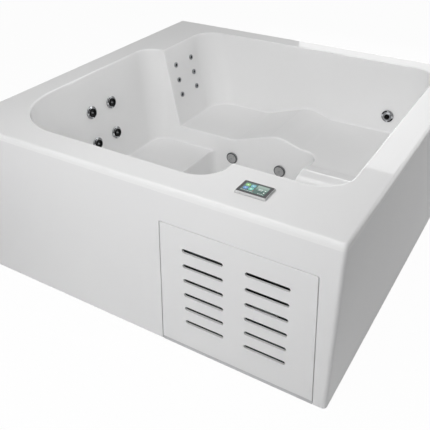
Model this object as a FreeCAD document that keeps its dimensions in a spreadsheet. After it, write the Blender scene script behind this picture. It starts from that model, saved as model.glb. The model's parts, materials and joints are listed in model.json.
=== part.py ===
import FreeCAD, Part
import math
import os
import Sketcher

doc = FreeCAD.newDocument("foam_hot_tub")
sheet = doc.addObject("Spreadsheet::Sheet", "Sizes")


class Size:
    """A number that remembers the spreadsheet expression it comes from."""

    def __init__(self, value, text):
        self.value = float(value)
        self.text = text

    def __add__(self, other):
        other = as_size(other)
        return Size(self.value + other.value, f"({self.text} + {other.text})")

    def __radd__(self, other):
        return as_size(other) + self

    def __sub__(self, other):
        other = as_size(other)
        return Size(self.value - other.value, f"({self.text} - {other.text})")

    def __rsub__(self, other):
        return as_size(other) - self

    def __mul__(self, other):
        other = as_size(other)
        return Size(self.value * other.value, f"({self.text} * {other.text})")

    def __rmul__(self, other):
        return as_size(other) * self

    def __truediv__(self, other):
        other = as_size(other)
        return Size(self.value / other.value, f"({self.text} / {other.text})")

    def __neg__(self):
        return Size(-self.value, f"(0 - {self.text})")


def as_size(number):
    return number if isinstance(number, Size) else Size(number, repr(float(number)))


def angle_of(run, rise):
    """The angle in degrees whose tangent is run over rise."""
    return Size(math.degrees(math.atan2(run.value, rise.value)), f"atan({run.text} / {rise.text}) / 1 deg")


def cosine(angle):
    return Size(math.cos(math.radians(angle.value)), f"cos({angle.text} * 1 deg)")


def sine(angle):
    return Size(math.sin(math.radians(angle.value)), f"sin({angle.text} * 1 deg)")


def root(number):
    return Size(math.sqrt(number.value), f"sqrt({number.text})")


rows = []


def size(alias, value):
    """Writes a driving dimension into the sheet and returns it."""
    rows.append(alias)
    cell = f"B{len(rows)}"
    sheet.set(f"A{len(rows)}", alias)
    sheet.set(cell, str(value))
    sheet.setAlias(cell, alias)
    return Size(value, f"Sizes.{alias}")


# Outside
width = size("overall_width", 2000)
depth = size("overall_depth", 1950)
height = size("overall_height", 870)
corner_round = size("corner_round", 20)
deck_round = size("deck_round", 16)
deck_lip = size("deck_lip", 30)
underside_round = size("underside_round", 4)

# Walls and clearances
shell_wall = size("shell_wall", 6)
glue_line = size("glue_line", 0.5)
overshoot = size("overshoot", 20)

# Deck widths around the basin
rim_left = size("rim_left", 140)
rim_right = size("rim_right", 145)
rim_back = size("rim_back", 125)
rim_front = size("rim_front", 145)
rim_controls = size("rim_controls", 314)
rim_head = size("rim_head", 271)
rim_step = size("rim_step", 638)
lip_round = size("lip_round", 8)

# Levels above the ground and lengths inside the basin
footwell_level = size("footwell_level", 90)
bench_level = size("bench_level", 265)
bench_lean = size("bench_lean", 50)
bench_depth = size("bench_depth", 425)
seat_level = size("seat_level", 265)
platform_level = size("platform_level", 432)
platform_length = size("platform_length", 615)
platform_round = size("platform_round", 60)
rise_round = size("rise_round", 150)
crest_level = size("crest_level", 461)
crest_run = size("crest_run", 119)
crest_round = size("crest_round", 40)
shelf_run = size("shelf_run", 116)
shelf_drop = size("shelf_drop", 14)
lounger_width = size("lounger_width", 483)
lounger_level = size("lounger_level", 377)
backrest_lean = size("backrest_lean", 100)
lounger_seat = size("lounger_seat", 404)
knee_level = size("knee_level", 480)
knee_run = size("knee_run", 310)
calf_run = size("calf_run", 150)
knee_round = size("knee_round", 180)
thigh_round = size("thigh_round", 200)
calf_round = size("calf_round", 80)

# Corners of the basin seen from above
bench_front_corner = size("bench_front_corner", 350)
bench_back_corner = size("bench_back_corner", 110)
head_corner = size("head_corner", 145)
foot_corner = size("foot_corner", 145)
seat_corner = size("seat_corner", 155)
step_corner = size("step_corner", 130)
footwell_corner = size("footwell_corner", 100)
well_left_corner = size("well_left_corner", 40)

# Skirt, tray and access panel, whose middle is measured from the right side
skirt_wall = size("skirt_wall", 10)
skirt_round = size("skirt_round", 8)
tray_height = size("tray_height", 18)
sill_setback = size("sill_setback", 3)
opening_middle = size("opening_middle", 450)
opening_top_width = size("opening_top_width", 722)
opening_base_width = size("opening_base_width", 782)
opening_top = size("opening_top", 699)
opening_round = size("opening_round", 10)
panel_gap = size("panel_gap", 4)
ledge_width = size("ledge_width", 24)
ledge_thick = size("ledge_thick", 8)
stud_radius = size("stud_radius", 6)
stud_length = size("stud_length", 16)
stud_clearance = size("stud_clearance", 0.6)
slot_length = size("slot_length", 200)
slot_height = size("slot_height", 22)
slot_round = size("slot_round", 10.5)
slot_rows = size("slot_rows", 6)
slot_pitch = size("slot_pitch", 81)
slot_top = size("slot_top", 583)
slot_spread = size("slot_spread", 302)
panel_edge_round = size("panel_edge_round", 2)

# Foam blocks and the equipment bay
bay_lining = size("bay_lining", 45)
bay_margin = size("bay_margin", 40)
channel_gap = size("channel_gap", 0.5)

# Large jets and suctions, measured from the wall face along their axis
jet_radius = size("jet_radius", 38)
jet_hole = size("jet_hole", 33.5)
jet_barrel = size("jet_barrel", 33)
jet_wall = size("jet_wall", 2.5)
jet_depth = size("jet_depth", 62)
jet_gasket = size("jet_gasket", 1.5)
jet_flange = size("jet_flange", 2.5)
jet_bezel = size("jet_bezel", 5)
jet_fit = size("jet_fit", 0.3)
jet_ball = size("jet_ball", 28.5)
jet_mouth = size("jet_mouth", 25.2)
jet_ball_drop = size("jet_ball_drop", 7)
jet_ball_face = size("jet_ball_face", 16)
nut_radius = size("nut_radius", 43)
nut_length = size("nut_length", 13)
grip_inner = size("grip_inner", 29)
grip_outer = size("grip_outer", 34.5)
grip_sweep = size("grip_sweep", 66)
grip_turn = size("grip_turn", 45)
grip_deep = size("grip_deep", 3)
grip_count = size("grip_count", 4)
port_radius = size("port_radius", 12)
port_reach = size("port_reach", 52)
port_depth = size("port_depth", 46)
jet_flange_inset = size("jet_flange_inset", 1)
lug_tall = size("lug_tall", 4)
lug_wide = size("lug_wide", 8)
nozzle_hole_share = size("nozzle_hole_share", 0.2)
nozzle_rim_share = size("nozzle_rim_share", 0.92)
suction_slot = size("suction_slot", 2.6)
slot_inner_share = size("slot_inner_share", 0.36)
slot_outer_share = size("slot_outer_share", 0.78)
dome_share = size("dome_share", 0.75)
post_share = size("post_share", 2.5)
screw_head_share = size("screw_head_share", 1.8)
bezel_round_share = size("bezel_round_share", 0.7)
ring_round_share = size("ring_round_share", 0.6)
mouth_round = size("mouth_round", 1)
bezel_sleeve = size("bezel_sleeve", 1.2)

bench_jet_upper = size("bench_jet_upper", 653)
bench_jet_lower = size("bench_jet_lower", 457)
bench_jet_reach = size("bench_jet_reach", 497.5)
bench_jet_spacing = size("bench_jet_spacing", 175)
foot_jet_level = size("foot_jet_level", 542)
foot_jet_reach = size("foot_jet_reach", 256)
suction_level = size("suction_level", 249)
suction_reach = size("suction_reach", 0.565)
suction_spacing = size("suction_spacing", 0.4565)
suction_dome = size("suction_dome", 9)
suction_slots = size("suction_slots", 16)
suction_screw = size("suction_screw", 4)

# Small jets in the backrest
small_radius = size("small_radius", 17)
small_barrel = size("small_barrel", 13)
small_wall = size("small_wall", 2)
small_depth = size("small_depth", 42)
small_flange = size("small_flange", 2)
small_ring = size("small_ring", 3.5)
small_ball = size("small_ball", 10.7)
small_mouth = size("small_mouth", 9.2)
small_ball_face = size("small_ball_face", 3)
small_ball_drop = size("small_ball_drop", 3.6)
small_port_radius = size("small_port_radius", 8)
small_port_reach = size("small_port_reach", 24)
small_port_depth = size("small_port_depth", 32)
back_jet_top = size("back_jet_top", 753)
back_jet_pitch = size("back_jet_pitch", 96)
back_jet_reach = size("back_jet_reach", 177)
back_jet_spacing = size("back_jet_spacing", 174)

# Control panel on the front rim, measured from the right side and the front
control_place = size("control_place", 445)
control_setback = size("control_setback", 157)
control_wide = size("control_wide", 138)
control_deep = size("control_deep", 95)
control_tall = size("control_tall", 10)
control_slope = size("control_slope", 3)
control_corner = size("control_corner", 6)
glass_wide = size("glass_wide", 130)
glass_deep = size("glass_deep", 83)
glass_thick = size("glass_thick", 3)
glass_proud = size("glass_proud", 1)
stem_radius = size("stem_radius", 14)
stem_length = size("stem_length", 40)

# Pump, heater, filter, pipes and control box; motor, filter and box are measured from the right side,
# and the box's base from the roof of the bay
pipe_radius = size("pipe_radius", 22)
pipe_wall = size("pipe_wall", 3)
pipe_bend = size("pipe_bend", 60)
pipe_tail = size("pipe_tail", 10)
supply_setback = size("supply_setback", 60)
main_bend = size("main_bend", 120)
lounger_feed_drop = size("lounger_feed_drop", 76)
lounger_riser = size("lounger_riser", 70)
manifold_margin = size("manifold_margin", 60)
drain_stub = size("drain_stub", 36)
pump_level = size("pump_level", 125)
discharge_offset = size("discharge_offset", 66)
motor_radius = size("motor_radius", 70)
motor_start = size("motor_start", 450)
motor_length = size("motor_length", 220)
fin_count = size("fin_count", 24)
fin_start = size("fin_start", 50)
saddle_half = size("saddle_half", 52)
fin_thick = size("fin_thick", 4)
fin_tall = size("fin_tall", 7)
wet_end_radius = size("wet_end_radius", 88)
wet_end_length = size("wet_end_length", 76)
volute_share = size("volute_share", 0.7)
inlet_length = size("inlet_length", 24)
union_radius = size("union_radius", 36)
union_length = size("union_length", 32)
foot_thick = size("foot_thick", 36)
foot_spread = size("foot_spread", 110)
suction_run_setback = size("suction_run_setback", 52)
suction_run_level = size("suction_run_level", 125)
suction_tail = size("suction_tail", 83)
heater_level = size("heater_level", 400)
heater_radius = size("heater_radius", 29)
heater_length = size("heater_length", 190)
filter_place = size("filter_place", 516)
filter_setback = size("filter_setback", 92)
filter_radius = size("filter_radius", 60)
filter_wall = size("filter_wall", 4)
filter_tall = size("filter_tall", 590)
lid_tall = size("lid_tall", 26)
lid_lugs = size("lid_lugs", 6)
cartridge_radius = size("cartridge_radius", 48)
pleat_wide = size("pleat_wide", 6)
cartridge_pleats = size("cartridge_pleats", 30)
pleat_deep = size("pleat_deep", 16)
box_left = size("box_left", 430)
box_wide = size("box_wide", 310)
box_base = size("box_base", 228.5)
box_tall = size("box_tall", 200)
box_deep = size("box_deep", 62)
box_wall = size("box_wall", 4)
box_lid = size("box_lid", 16)
box_round = size("box_round", 12)
valve_radius = size("valve_radius", 27)
valve_length = size("valve_length", 46)
lever_length = size("lever_length", 52)
lever_wide = size("lever_wide", 14)
lever_thick = size("lever_thick", 4)
lever_gap = size("lever_gap", 0.4)
lever_end_share = size("lever_end_share", 0.45)
lever_stem = size("lever_stem", 5)
nipple_round = size("nipple_round", 2)

# Rounded edges inside the basin
floor_round = size("floor_round", 14)
ridge_round = size("ridge_round", 9)

doc.recompute()


def bind(thing, name, value):
    thing.setExpression(name, as_size(value).text)


def new_body(name, label=None):
    body = doc.addObject("PartDesign::Body", name)
    body.Label = label or name
    return body


def origin_plane(body, role):
    return [feature for feature in body.Origin.OriginFeatures if feature.Role == role][0]


def new_sketch(body, name, role, offset=None):
    sketch = body.newObject("Sketcher::SketchObject", name)
    sketch.AttachmentSupport = (origin_plane(body, role), [""])
    sketch.MapMode = "FlatFace"
    if offset is not None:
        bind(sketch, "AttachmentOffset.Base.z", offset)
    return sketch


def outline(sketch, corners, closed=True):
    """Draws straight sides through corners (x, y, radius); a radius makes that corner a tangent arc."""
    points = [FreeCAD.Vector(as_size(x).value, as_size(y).value, 0) for x, y, radius in corners]
    count = len(points)
    ends = []
    for index, (x, y, radius) in enumerate(corners):
        here = points[index]
        if radius is None:
            ends.append((here, here, here))
            continue
        back = (points[index - 1] - here).normalize()
        ahead = (points[(index + 1) % count] - here).normalize()
        half = back.getAngle(ahead) / 2
        reach = as_size(radius).value / math.tan(half)
        middle = (back + ahead).normalize()
        nearest = as_size(radius).value * (1 / math.sin(half) - 1)
        ends.append((here + back * reach, here + middle * nearest, here + ahead * reach))
    sides = []
    for index in range(count if closed else count - 1):
        side = Part.LineSegment(ends[index][2], ends[(index + 1) % count][0])
        sides.append(sketch.addGeometry(side))
    for index, (x, y, radius) in enumerate(corners):
        before = sides[index - 1]
        after = sides[index] if index < len(sides) else None
        mark_end = 1
        if after is None:
            mark = before
            mark_end = 2
        elif index == 0 and not closed:
            mark = after
        elif radius is None:
            sketch.addConstraint(Sketcher.Constraint("Coincident", before, 2, after, 1))
            mark = after
        else:
            first, middle, last = ends[index]
            if (middle - first).cross(last - middle).z < 0:
                first, last = last, first
            arc = sketch.addGeometry(Part.Arc(first, middle, last))
            near = 1 if (sketch.Geometry[arc].StartPoint - ends[index][0]).Length < 1e-6 else 2
            sketch.addConstraint(Sketcher.Constraint("Tangent", before, 2, arc, near))
            sketch.addConstraint(Sketcher.Constraint("Tangent", arc, 3 - near, after, 1))
            rule = sketch.addConstraint(Sketcher.Constraint("Radius", arc, as_size(radius).value))
            bind(sketch, f"Constraints[{rule}]", radius)
            mark = sketch.addGeometry(Part.Point(points[index]), True)
            sketch.addConstraint(Sketcher.Constraint("PointOnObject", mark, 1, before))
            sketch.addConstraint(Sketcher.Constraint("PointOnObject", mark, 1, after))
        for kind, place in (("DistanceX", as_size(x)), ("DistanceY", as_size(y))):
            rule = sketch.addConstraint(Sketcher.Constraint(kind, -1, 1, mark, mark_end, place.value))
            bind(sketch, f"Constraints[{rule}]", place)
    return sketch


def rectangle(left, right, front, back, radii=(None, None, None, None)):
    """Corners of a rectangle, with the radii of its front left, front right, back right and back left."""
    places = ((left, front), (right, front), (right, back), (left, back))
    return [(x, y, radius) for (x, y), radius in zip(places, radii)]


# Places shared by the pieces, all measured from the middle of the base
left_side = -(width / 2)
right_side = width / 2
front_side = -(depth / 2)
back_side = depth / 2
bench_left = left_side + rim_left
well_front = front_side + rim_front
well_right = right_side - rim_step
seat_front = front_side + rim_controls
basin_right = right_side - rim_right
basin_back = back_side - rim_back
partition = basin_back - lounger_width
backrest_top = left_side + rim_head
bench_edge = bench_left + bench_lean + bench_depth
platform_front = basin_back - platform_length
backrest_foot = backrest_top + backrest_lean
thigh_start = backrest_foot + lounger_seat
knee_place = thigh_start + knee_run
calf_end = knee_place + calf_run
crest_place = platform_front - crest_run
riser_face = crest_place - shelf_run
opening_x = right_side - opening_middle
control_x = right_side - control_place
motor_x = right_side - motor_start
filter_x = right_side - filter_place
box_x = right_side - box_left


def well(name, grow, floor, sides, radii, lean=None):
    """A well from above the deck to its floor; lean is how far its left wall comes in, and by which level."""
    body = new_body(name)
    left, right, front, back = sides
    drop = height + overshoot - floor + grow
    if lean is not None:
        run, foot = lean
        left = left - run * overshoot / (height - foot)
    sketch = new_sketch(body, f"{name}_mouth", "XY_Plane", height + overshoot)
    outline(sketch, rectangle(left - grow, right + grow, front - grow, back + grow, radii))
    pad = body.newObject("PartDesign::Pad", f"{name}_pad")
    pad.Profile = sketch
    bind(pad, "Length", drop)
    if lean is None:
        pad.Reversed = True
    else:
        pad.UseCustomVector = True
        pad.AlongSketchNormal = True
        pad.Direction = FreeCAD.Vector(run.value, 0, foot.value - height.value)
        bind(pad, "Direction.x", run)
        bind(pad, "Direction.z", foot - height)
    return body


def cut_below(body, name, role, corners):
    """Takes away what lies below a floor line, right across the body."""
    sketch = new_sketch(body, name, role)
    outline(sketch, corners)
    pocket = body.newObject("PartDesign::Pocket", f"{name}_cut")
    pocket.Profile = sketch
    pocket.Type = "ThroughAll"
    pocket.Midplane = True
    body.Tip = pocket


def basin(name, grow):
    """The water space of the basin, made larger all round by grow."""
    grow = as_size(grow)

    bench_right = bench_edge + well_left_corner + bench_lean
    bench = well(f"{name}_bench", grow, bench_level, (bench_left, bench_right, well_front, partition),
                 (bench_front_corner + grow, None, None, bench_back_corner + grow), (bench_lean, bench_level))
    footwell = well(f"{name}_footwell", grow, footwell_level, (bench_edge, well_right, well_front, partition),
                    (well_left_corner + grow, step_corner + grow, footwell_corner + grow,
                     well_left_corner + grow))
    lounger = well(f"{name}_lounger", grow, lounger_level - overshoot,
                   (backrest_top, well_right, partition - footwell_corner, basin_back),
                   (None, None, None, head_corner + grow), (backrest_lean, lounger_level))
    low = footwell_level
    far_left = left_side
    far_right = right_side
    cut_below(lounger, f"{name}_lounger_floor", "XZ_Plane", [
        (far_left, low, None), (far_right, low, None), (far_right, platform_level - grow, None),
        (calf_end, platform_level - grow, calf_round), (knee_place, knee_level - grow, knee_round),
        (thigh_start, lounger_level - grow, thigh_round), (far_left, lounger_level - grow, None)])
    seat = well(f"{name}_seat", grow, seat_level, (well_right - overshoot, basin_right, seat_front,
                                                   basin_back),
                (None, seat_corner + grow, foot_corner + grow, None))
    riser = riser_face + grow
    cut_below(seat, f"{name}_seat_floor", "YZ_Plane", [
        (riser, low, None), (back_side, low, None), (back_side, platform_level - grow, None),
        (platform_front, platform_level - grow, rise_round), (crest_place, crest_level - grow, crest_round),
        (riser, crest_level - shelf_drop - grow, platform_round - grow)])
    whole = doc.addObject("Part::MultiFuse", name)
    whole.Shapes = [bench, footwell, lounger, seat]
    whole.Refine = True
    return whole


def pad(body, sketch, length, reverse=False):
    feature = body.newObject("PartDesign::Pad", f"{sketch.Name}_pad")
    feature.Profile = sketch
    feature.Reversed = reverse
    bind(feature, "Length", length)
    return feature


def pocket(body, sketch, length, reverse=False):
    feature = body.newObject("PartDesign::Pocket", f"{sketch.Name}_pocket")
    feature.Profile = sketch
    feature.Reversed = reverse
    bind(feature, "Length", length)
    return feature


def polar(body, feature, count):
    """Repeats a feature about the body's own Z axis."""
    pattern = body.newObject("PartDesign::PolarPattern", f"{feature.Name}_ring")
    pattern.Originals = [feature]
    pattern.Axis = (origin_plane(body, "Z_Axis"), [""])
    pattern.Angle = 360
    bind(pattern, "Occurrences", count)
    body.Tip = pattern
    return pattern


def edge_names(shape, test):
    return [f"Edge{index + 1}" for index, edge in enumerate(shape.Edges) if test(edge)]


def at_level(level, edge):
    return all(abs(vertex.Z - level.value) < 1e-4 for vertex in edge.Vertexes)


def soften(body, feature, radius, test):
    """Rounds the edges of the feature that pass the test."""
    doc.recompute()
    fillet = body.newObject("PartDesign::Fillet", f"{feature.Name}_soft")
    fillet.Base = (feature, edge_names(feature.Shape, test))
    bind(fillet, "Radius", radius)
    return fillet


def turned(name, profile):
    """A piece turned about its own Z axis from a profile of (radius, height, rounding)."""
    body = new_body(name)
    sketch = outline(new_sketch(body, f"{name}_profile", "XZ_Plane"), profile)
    spin = body.newObject("PartDesign::Revolution", f"{name}_turn")
    spin.Profile = sketch
    spin.ReferenceAxis = (sketch, ["V_Axis"])
    spin.Angle = 360
    return body


def ring(inner, outer, low, high):
    return [(inner, low, None), (outer, low, None), (outer, high, None), (inner, high, None)]


def circle(sketch, x, y, radius):
    x, y, radius = as_size(x), as_size(y), as_size(radius)
    curve = sketch.addGeometry(Part.Circle(FreeCAD.Vector(x.value, y.value, 0), FreeCAD.Vector(0, 0, 1),
                                           radius.value))
    for rule, value in ((Sketcher.Constraint("Radius", curve, radius.value), radius),
                        (Sketcher.Constraint("DistanceX", -1, 1, curve, 3, x.value), x),
                        (Sketcher.Constraint("DistanceY", -1, 1, curve, 3, y.value), y)):
        bind(sketch, f"Constraints[{sketch.addConstraint(rule)}]", value)
    return sketch


x_axis = FreeCAD.Vector(1, 0, 0)
y_axis = FreeCAD.Vector(0, 1, 0)


def place(thing, x, y, z, axis=None, angle=None):
    """Puts a thing at a point, turned about one axis by an angle in degrees."""
    if axis is not None:
        thing.Placement = FreeCAD.Placement(FreeCAD.Vector(), FreeCAD.Rotation(axis, as_size(angle).value))
        bind(thing, "Placement.Rotation.Angle", angle)
    for letter, value in (("x", x), ("y", y), ("z", z)):
        bind(thing, f"Placement.Base.{letter}", value)
    return thing


def copy_of(master, label, spot):
    """A placed copy of a piece that is made once."""
    link = doc.addObject("App::Link", label)
    link.LinkedObject = master
    link.Label = label
    return place(link, *spot)


def joined(kind, name, members):
    if len(members) == 1:
        return members[0]
    whole = doc.addObject(kind, name)
    if kind == "Part::Compound":
        whole.Links = members
    else:
        whole.Shapes = members
    return whole


def cut(label, base, tool):
    """One piece with another taken out of it."""
    whole = doc.addObject("Part::Cut", label)
    whole.Base = base
    whole.Tool = tool
    whole.Label = label
    return whole


def box(name, left, right, front, back, low, high):
    block = doc.addObject("Part::Box", name)
    bind(block, "Length", right - left)
    bind(block, "Width", back - front)
    bind(block, "Height", high - low)
    return place(block, left, front, low)


def cylinder(name, radius, length, x, y, z, axis=None, angle=None):
    """A round bar from a point along Z, or along the direction that Z is turned to."""
    bar = doc.addObject("Part::Cylinder", name)
    bind(bar, "Radius", radius)
    bind(bar, "Height", length)
    return place(bar, x, y, z, axis, angle)


def turn_of_edge(shape, edge):
    """Positive where the solid's two faces meet in an outward edge, negative in an inward one, else 0."""
    faces = [face for face in shape.Faces if any(other.isSame(edge) for other in face.Edges)]
    if len(faces) < 2:
        return 0
    half = (edge.FirstParameter + edge.LastParameter) / 2
    middle = edge.valueAt(half)
    first, second = [face.normalAt(*face.Surface.parameter(middle)) for face in faces]
    if first.cross(second).Length < 0.05:
        return 0
    across = first.cross(edge.tangentAt(half)).normalize()
    step = 0.3
    if Part.Vertex(middle + across * step).distToShape(faces[0])[0] > step / 10:
        across = -across
    return -1 if second.dot(across) > 0 else 1


nodes = {}


def node(label, thing):
    """Registers a finished piece under the name of its file."""
    thing.Label = label
    nodes[label] = thing
    return thing


# The water space with its rounded floors and ridges, and the same space grown for the shell and the foam
water = basin("water", 0)
shell_outside = basin("shell_outside", shell_wall)
foam_inside = basin("foam_inside", shell_wall + glue_line)
doc.recompute()
soft_water = doc.addObject("Part::Fillet", "soft_water")
soft_water.Base = water
rounds = []
for number, edge in enumerate(water.Shape.Edges, 1):
    turn = turn_of_edge(water.Shape, edge)
    if turn == 0 or at_level(height + overshoot, edge):
        continue
    radius = floor_round.value if turn > 0 else ridge_round.value
    rounds.append((number, radius, radius))
soft_water.Edges = rounds

# Where the jets and suctions sit: point, axis to turn about and angle
bench_angle = angle_of(bench_lean, height - bench_level)
backrest_angle = angle_of(backrest_lean, height - lounger_level)
upright = as_size(90)


def on_bench_wall(level, along):
    return (bench_left + bench_lean * (height - level) / (height - bench_level), along, level,
            y_axis, upright - bench_angle)


def on_backrest(level, along):
    return (backrest_top + backrest_lean * (height - level) / (height - lounger_level), along, level,
            y_axis, upright - backrest_angle)


bench_jet_middle = partition - bench_jet_reach
bench_jet_places = [on_bench_wall(level, bench_jet_middle + side * bench_jet_spacing / 2)
                    for level in (bench_jet_upper, bench_jet_lower) for side in (-1, 1)]
foot_jet_x = basin_right - foot_jet_reach
foot_jet_place = (foot_jet_x, basin_back, foot_jet_level, x_axis, upright)
well_width = well_right - bench_edge
suction_xs = [well_right - (suction_reach + side * suction_spacing / 2) * well_width for side in (1, -1)]
suction_places = [(x, partition, suction_level, x_axis, upright) for x in suction_xs]
back_jet_middle = partition + back_jet_reach
back_jet_places = [on_backrest(back_jet_top - row * back_jet_pitch,
                               back_jet_middle + side * back_jet_spacing / 2)
                   for row in (0, 1, 2) for side in (-1, 1)]
jet_places = bench_jet_places + [foot_jet_place]


def copies(master, name, spots):
    return [copy_of(master, f"{name}_{index}", spot) for index, spot in enumerate(spots, 1)]


# Control panel: a drafted frame on the deck, a stem through it and a glass on top
control_y = front_side + control_setback


def make_control_panel():
    base = new_body("control_base")
    sections = []
    for part, level, inset in (("foot", height, 0), ("top", height + control_tall, control_slope)):
        sketch = new_sketch(base, f"control_{part}", "XY_Plane", level)
        half_x = control_wide / 2 - inset
        half_y = control_deep / 2 - inset
        outline(sketch, rectangle(control_x - half_x, control_x + half_x, control_y - half_y,
                                  control_y + half_y, (control_corner,) * 4))
        sections.append(sketch)
    loft = base.newObject("PartDesign::AdditiveLoft", "control_sides")
    loft.Profile = sections[0]
    loft.Sections = [sections[1]]
    loft.Ruled = True
    stem = circle(new_sketch(base, "control_stem", "XY_Plane", height - stem_length), control_x,
                  control_y,
                  stem_radius)
    pad(base, stem, stem_length)

    def glass_outline(sketch, gap):
        half_x = glass_wide / 2 + gap
        half_y = glass_deep / 2 + gap
        return outline(sketch, rectangle(control_x - half_x, control_x + half_x, control_y - half_y,
                                         control_y + half_y, (control_corner / 2,) * 4))

    top = height + control_tall
    seat = glass_outline(new_sketch(base, "control_seat", "XY_Plane", top), glue_line)
    pocket(base, seat, glass_thick - glass_proud)
    glass = new_body("control_glass")
    pane = glass_outline(new_sketch(glass, "glass_outline", "XY_Plane", top + glass_proud - glass_thick), 0)
    pad(glass, pane, glass_thick)
    node("control_base", base)
    node("control_glass", glass)


# Deck and basin in one moulding
def make_tub_shell(holes):
    deck = new_body("deck")
    sheet_outline = outline(new_sketch(deck, "deck_outline", "XY_Plane", height - deck_lip),
                            rectangle(left_side, right_side, front_side, back_side, (corner_round,) * 4))
    slab = pad(deck, sheet_outline, deck_lip)
    soften(deck, slab, deck_round, lambda edge: at_level(height, edge))
    under = outline(new_sketch(deck, "deck_underside", "XY_Plane", height - deck_lip),
                    rectangle(left_side + shell_wall, right_side - shell_wall, front_side + shell_wall,
                              back_side - shell_wall, (corner_round - shell_wall,) * 4))
    hollow = pocket(deck, under, deck_lip - shell_wall, reverse=True)
    soften(deck, hollow, underside_round, lambda edge: at_level(height - shell_wall, edge))
    room = box("shell_room", left_side, right_side, front_side, back_side, as_size(0), height)
    basin_outside = doc.addObject("Part::Common", "basin_outside")
    basin_outside.Base = shell_outside
    basin_outside.Tool = room
    moulding_outside = joined("Part::MultiFuse", "moulding_outside", [deck, basin_outside])
    moulding = cut("moulding", moulding_outside, soft_water)
    doc.recompute()
    lip = doc.addObject("Part::Fillet", "moulding_lip")
    lip.Base = moulding
    inside = [number for number, edge in enumerate(moulding.Shape.Edges, 1)
              if at_level(height, edge) and edge.BoundBox.YMax < back_side.value - deck_round.value - 1
              and edge.BoundBox.YMin > front_side.value + deck_round.value + 1
              and edge.BoundBox.XMin > left_side.value + deck_round.value + 1
              and edge.BoundBox.XMax < right_side.value - deck_round.value - 1]
    lip.Edges = [(number, lip_round.value, lip_round.value) for number in inside]
    node("tub_shell", cut("tub_shell", lip, holes))


# Skirt, tray, access panel and the ledge it seats on
inner_left = left_side + skirt_wall + glue_line
inner_right = right_side - skirt_wall - glue_line
inner_front = front_side + skirt_wall + glue_line
inner_back = back_side - skirt_wall - glue_line
panel_foot = tray_height + panel_gap


def opening_corners(grow, foot, corner):
    """The trapezium of the access opening, larger all round by grow, from a foot level up."""
    grow = as_size(grow)
    slope = (opening_base_width - opening_top_width) / 2 / opening_top

    def half_width(level):
        return opening_base_width / 2 - slope * level + grow

    top = opening_top + grow
    return [(opening_x - half_width(foot), foot, None), (opening_x + half_width(foot), foot, None),
            (opening_x + half_width(top), top, corner), (opening_x - half_width(top), top, corner)]


def make_skirt():
    skirt = new_body("skirt")
    walls = new_sketch(skirt, "skirt_walls", "XY_Plane")
    outline(walls, rectangle(left_side, right_side, front_side, back_side, (corner_round,) * 4))
    outline(walls, rectangle(left_side + skirt_wall, right_side - skirt_wall, front_side + skirt_wall,
                             back_side - skirt_wall, (corner_round - skirt_wall,) * 4))
    shell = pad(skirt, walls, height - deck_lip)
    inside_x = right_side.value - skirt_wall.value / 2
    inside_y = back_side.value - skirt_wall.value / 2

    def is_outer_foot(edge):
        middle = edge.valueAt((edge.FirstParameter + edge.LastParameter) / 2)
        return at_level(as_size(0), edge) and (abs(middle.x) > inside_x or abs(middle.y) > inside_y)

    soften(skirt, shell, skirt_round, is_outer_foot)
    doorway = new_sketch(skirt, "skirt_opening", "XZ_Plane", -front_side)
    outline(doorway, opening_corners(0, -overshoot, opening_round))
    pocket(skirt, doorway, 2 * skirt_wall)
    node("skirt", skirt)


def make_base_tray():
    tray = new_body("base_tray")
    plate = outline(new_sketch(tray, "tray_plate", "XY_Plane"),
                    rectangle(inner_left, inner_right, inner_front, inner_back,
                              (corner_round - skirt_wall,) * 4))
    pad(tray, plate, tray_height)
    half = opening_base_width / 2 - panel_gap
    sill = outline(new_sketch(tray, "tray_sill", "XY_Plane"),
                   rectangle(opening_x - half, opening_x + half, front_side + sill_setback,
                             inner_front + skirt_wall))
    pad(tray, sill, tray_height)
    node("base_tray", tray)


panel_back = front_side + skirt_wall
ledge_face = panel_back + jet_fit
stud_inset = ledge_width / 2 + panel_gap
stud_levels = (panel_foot + ledge_width, opening_top - stud_inset)
stud_spread = opening_top_width / 2 - stud_inset


def stud_places():
    return [(opening_x + side * stud_spread, level) for level in stud_levels for side in (-1, 1)]


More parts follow.
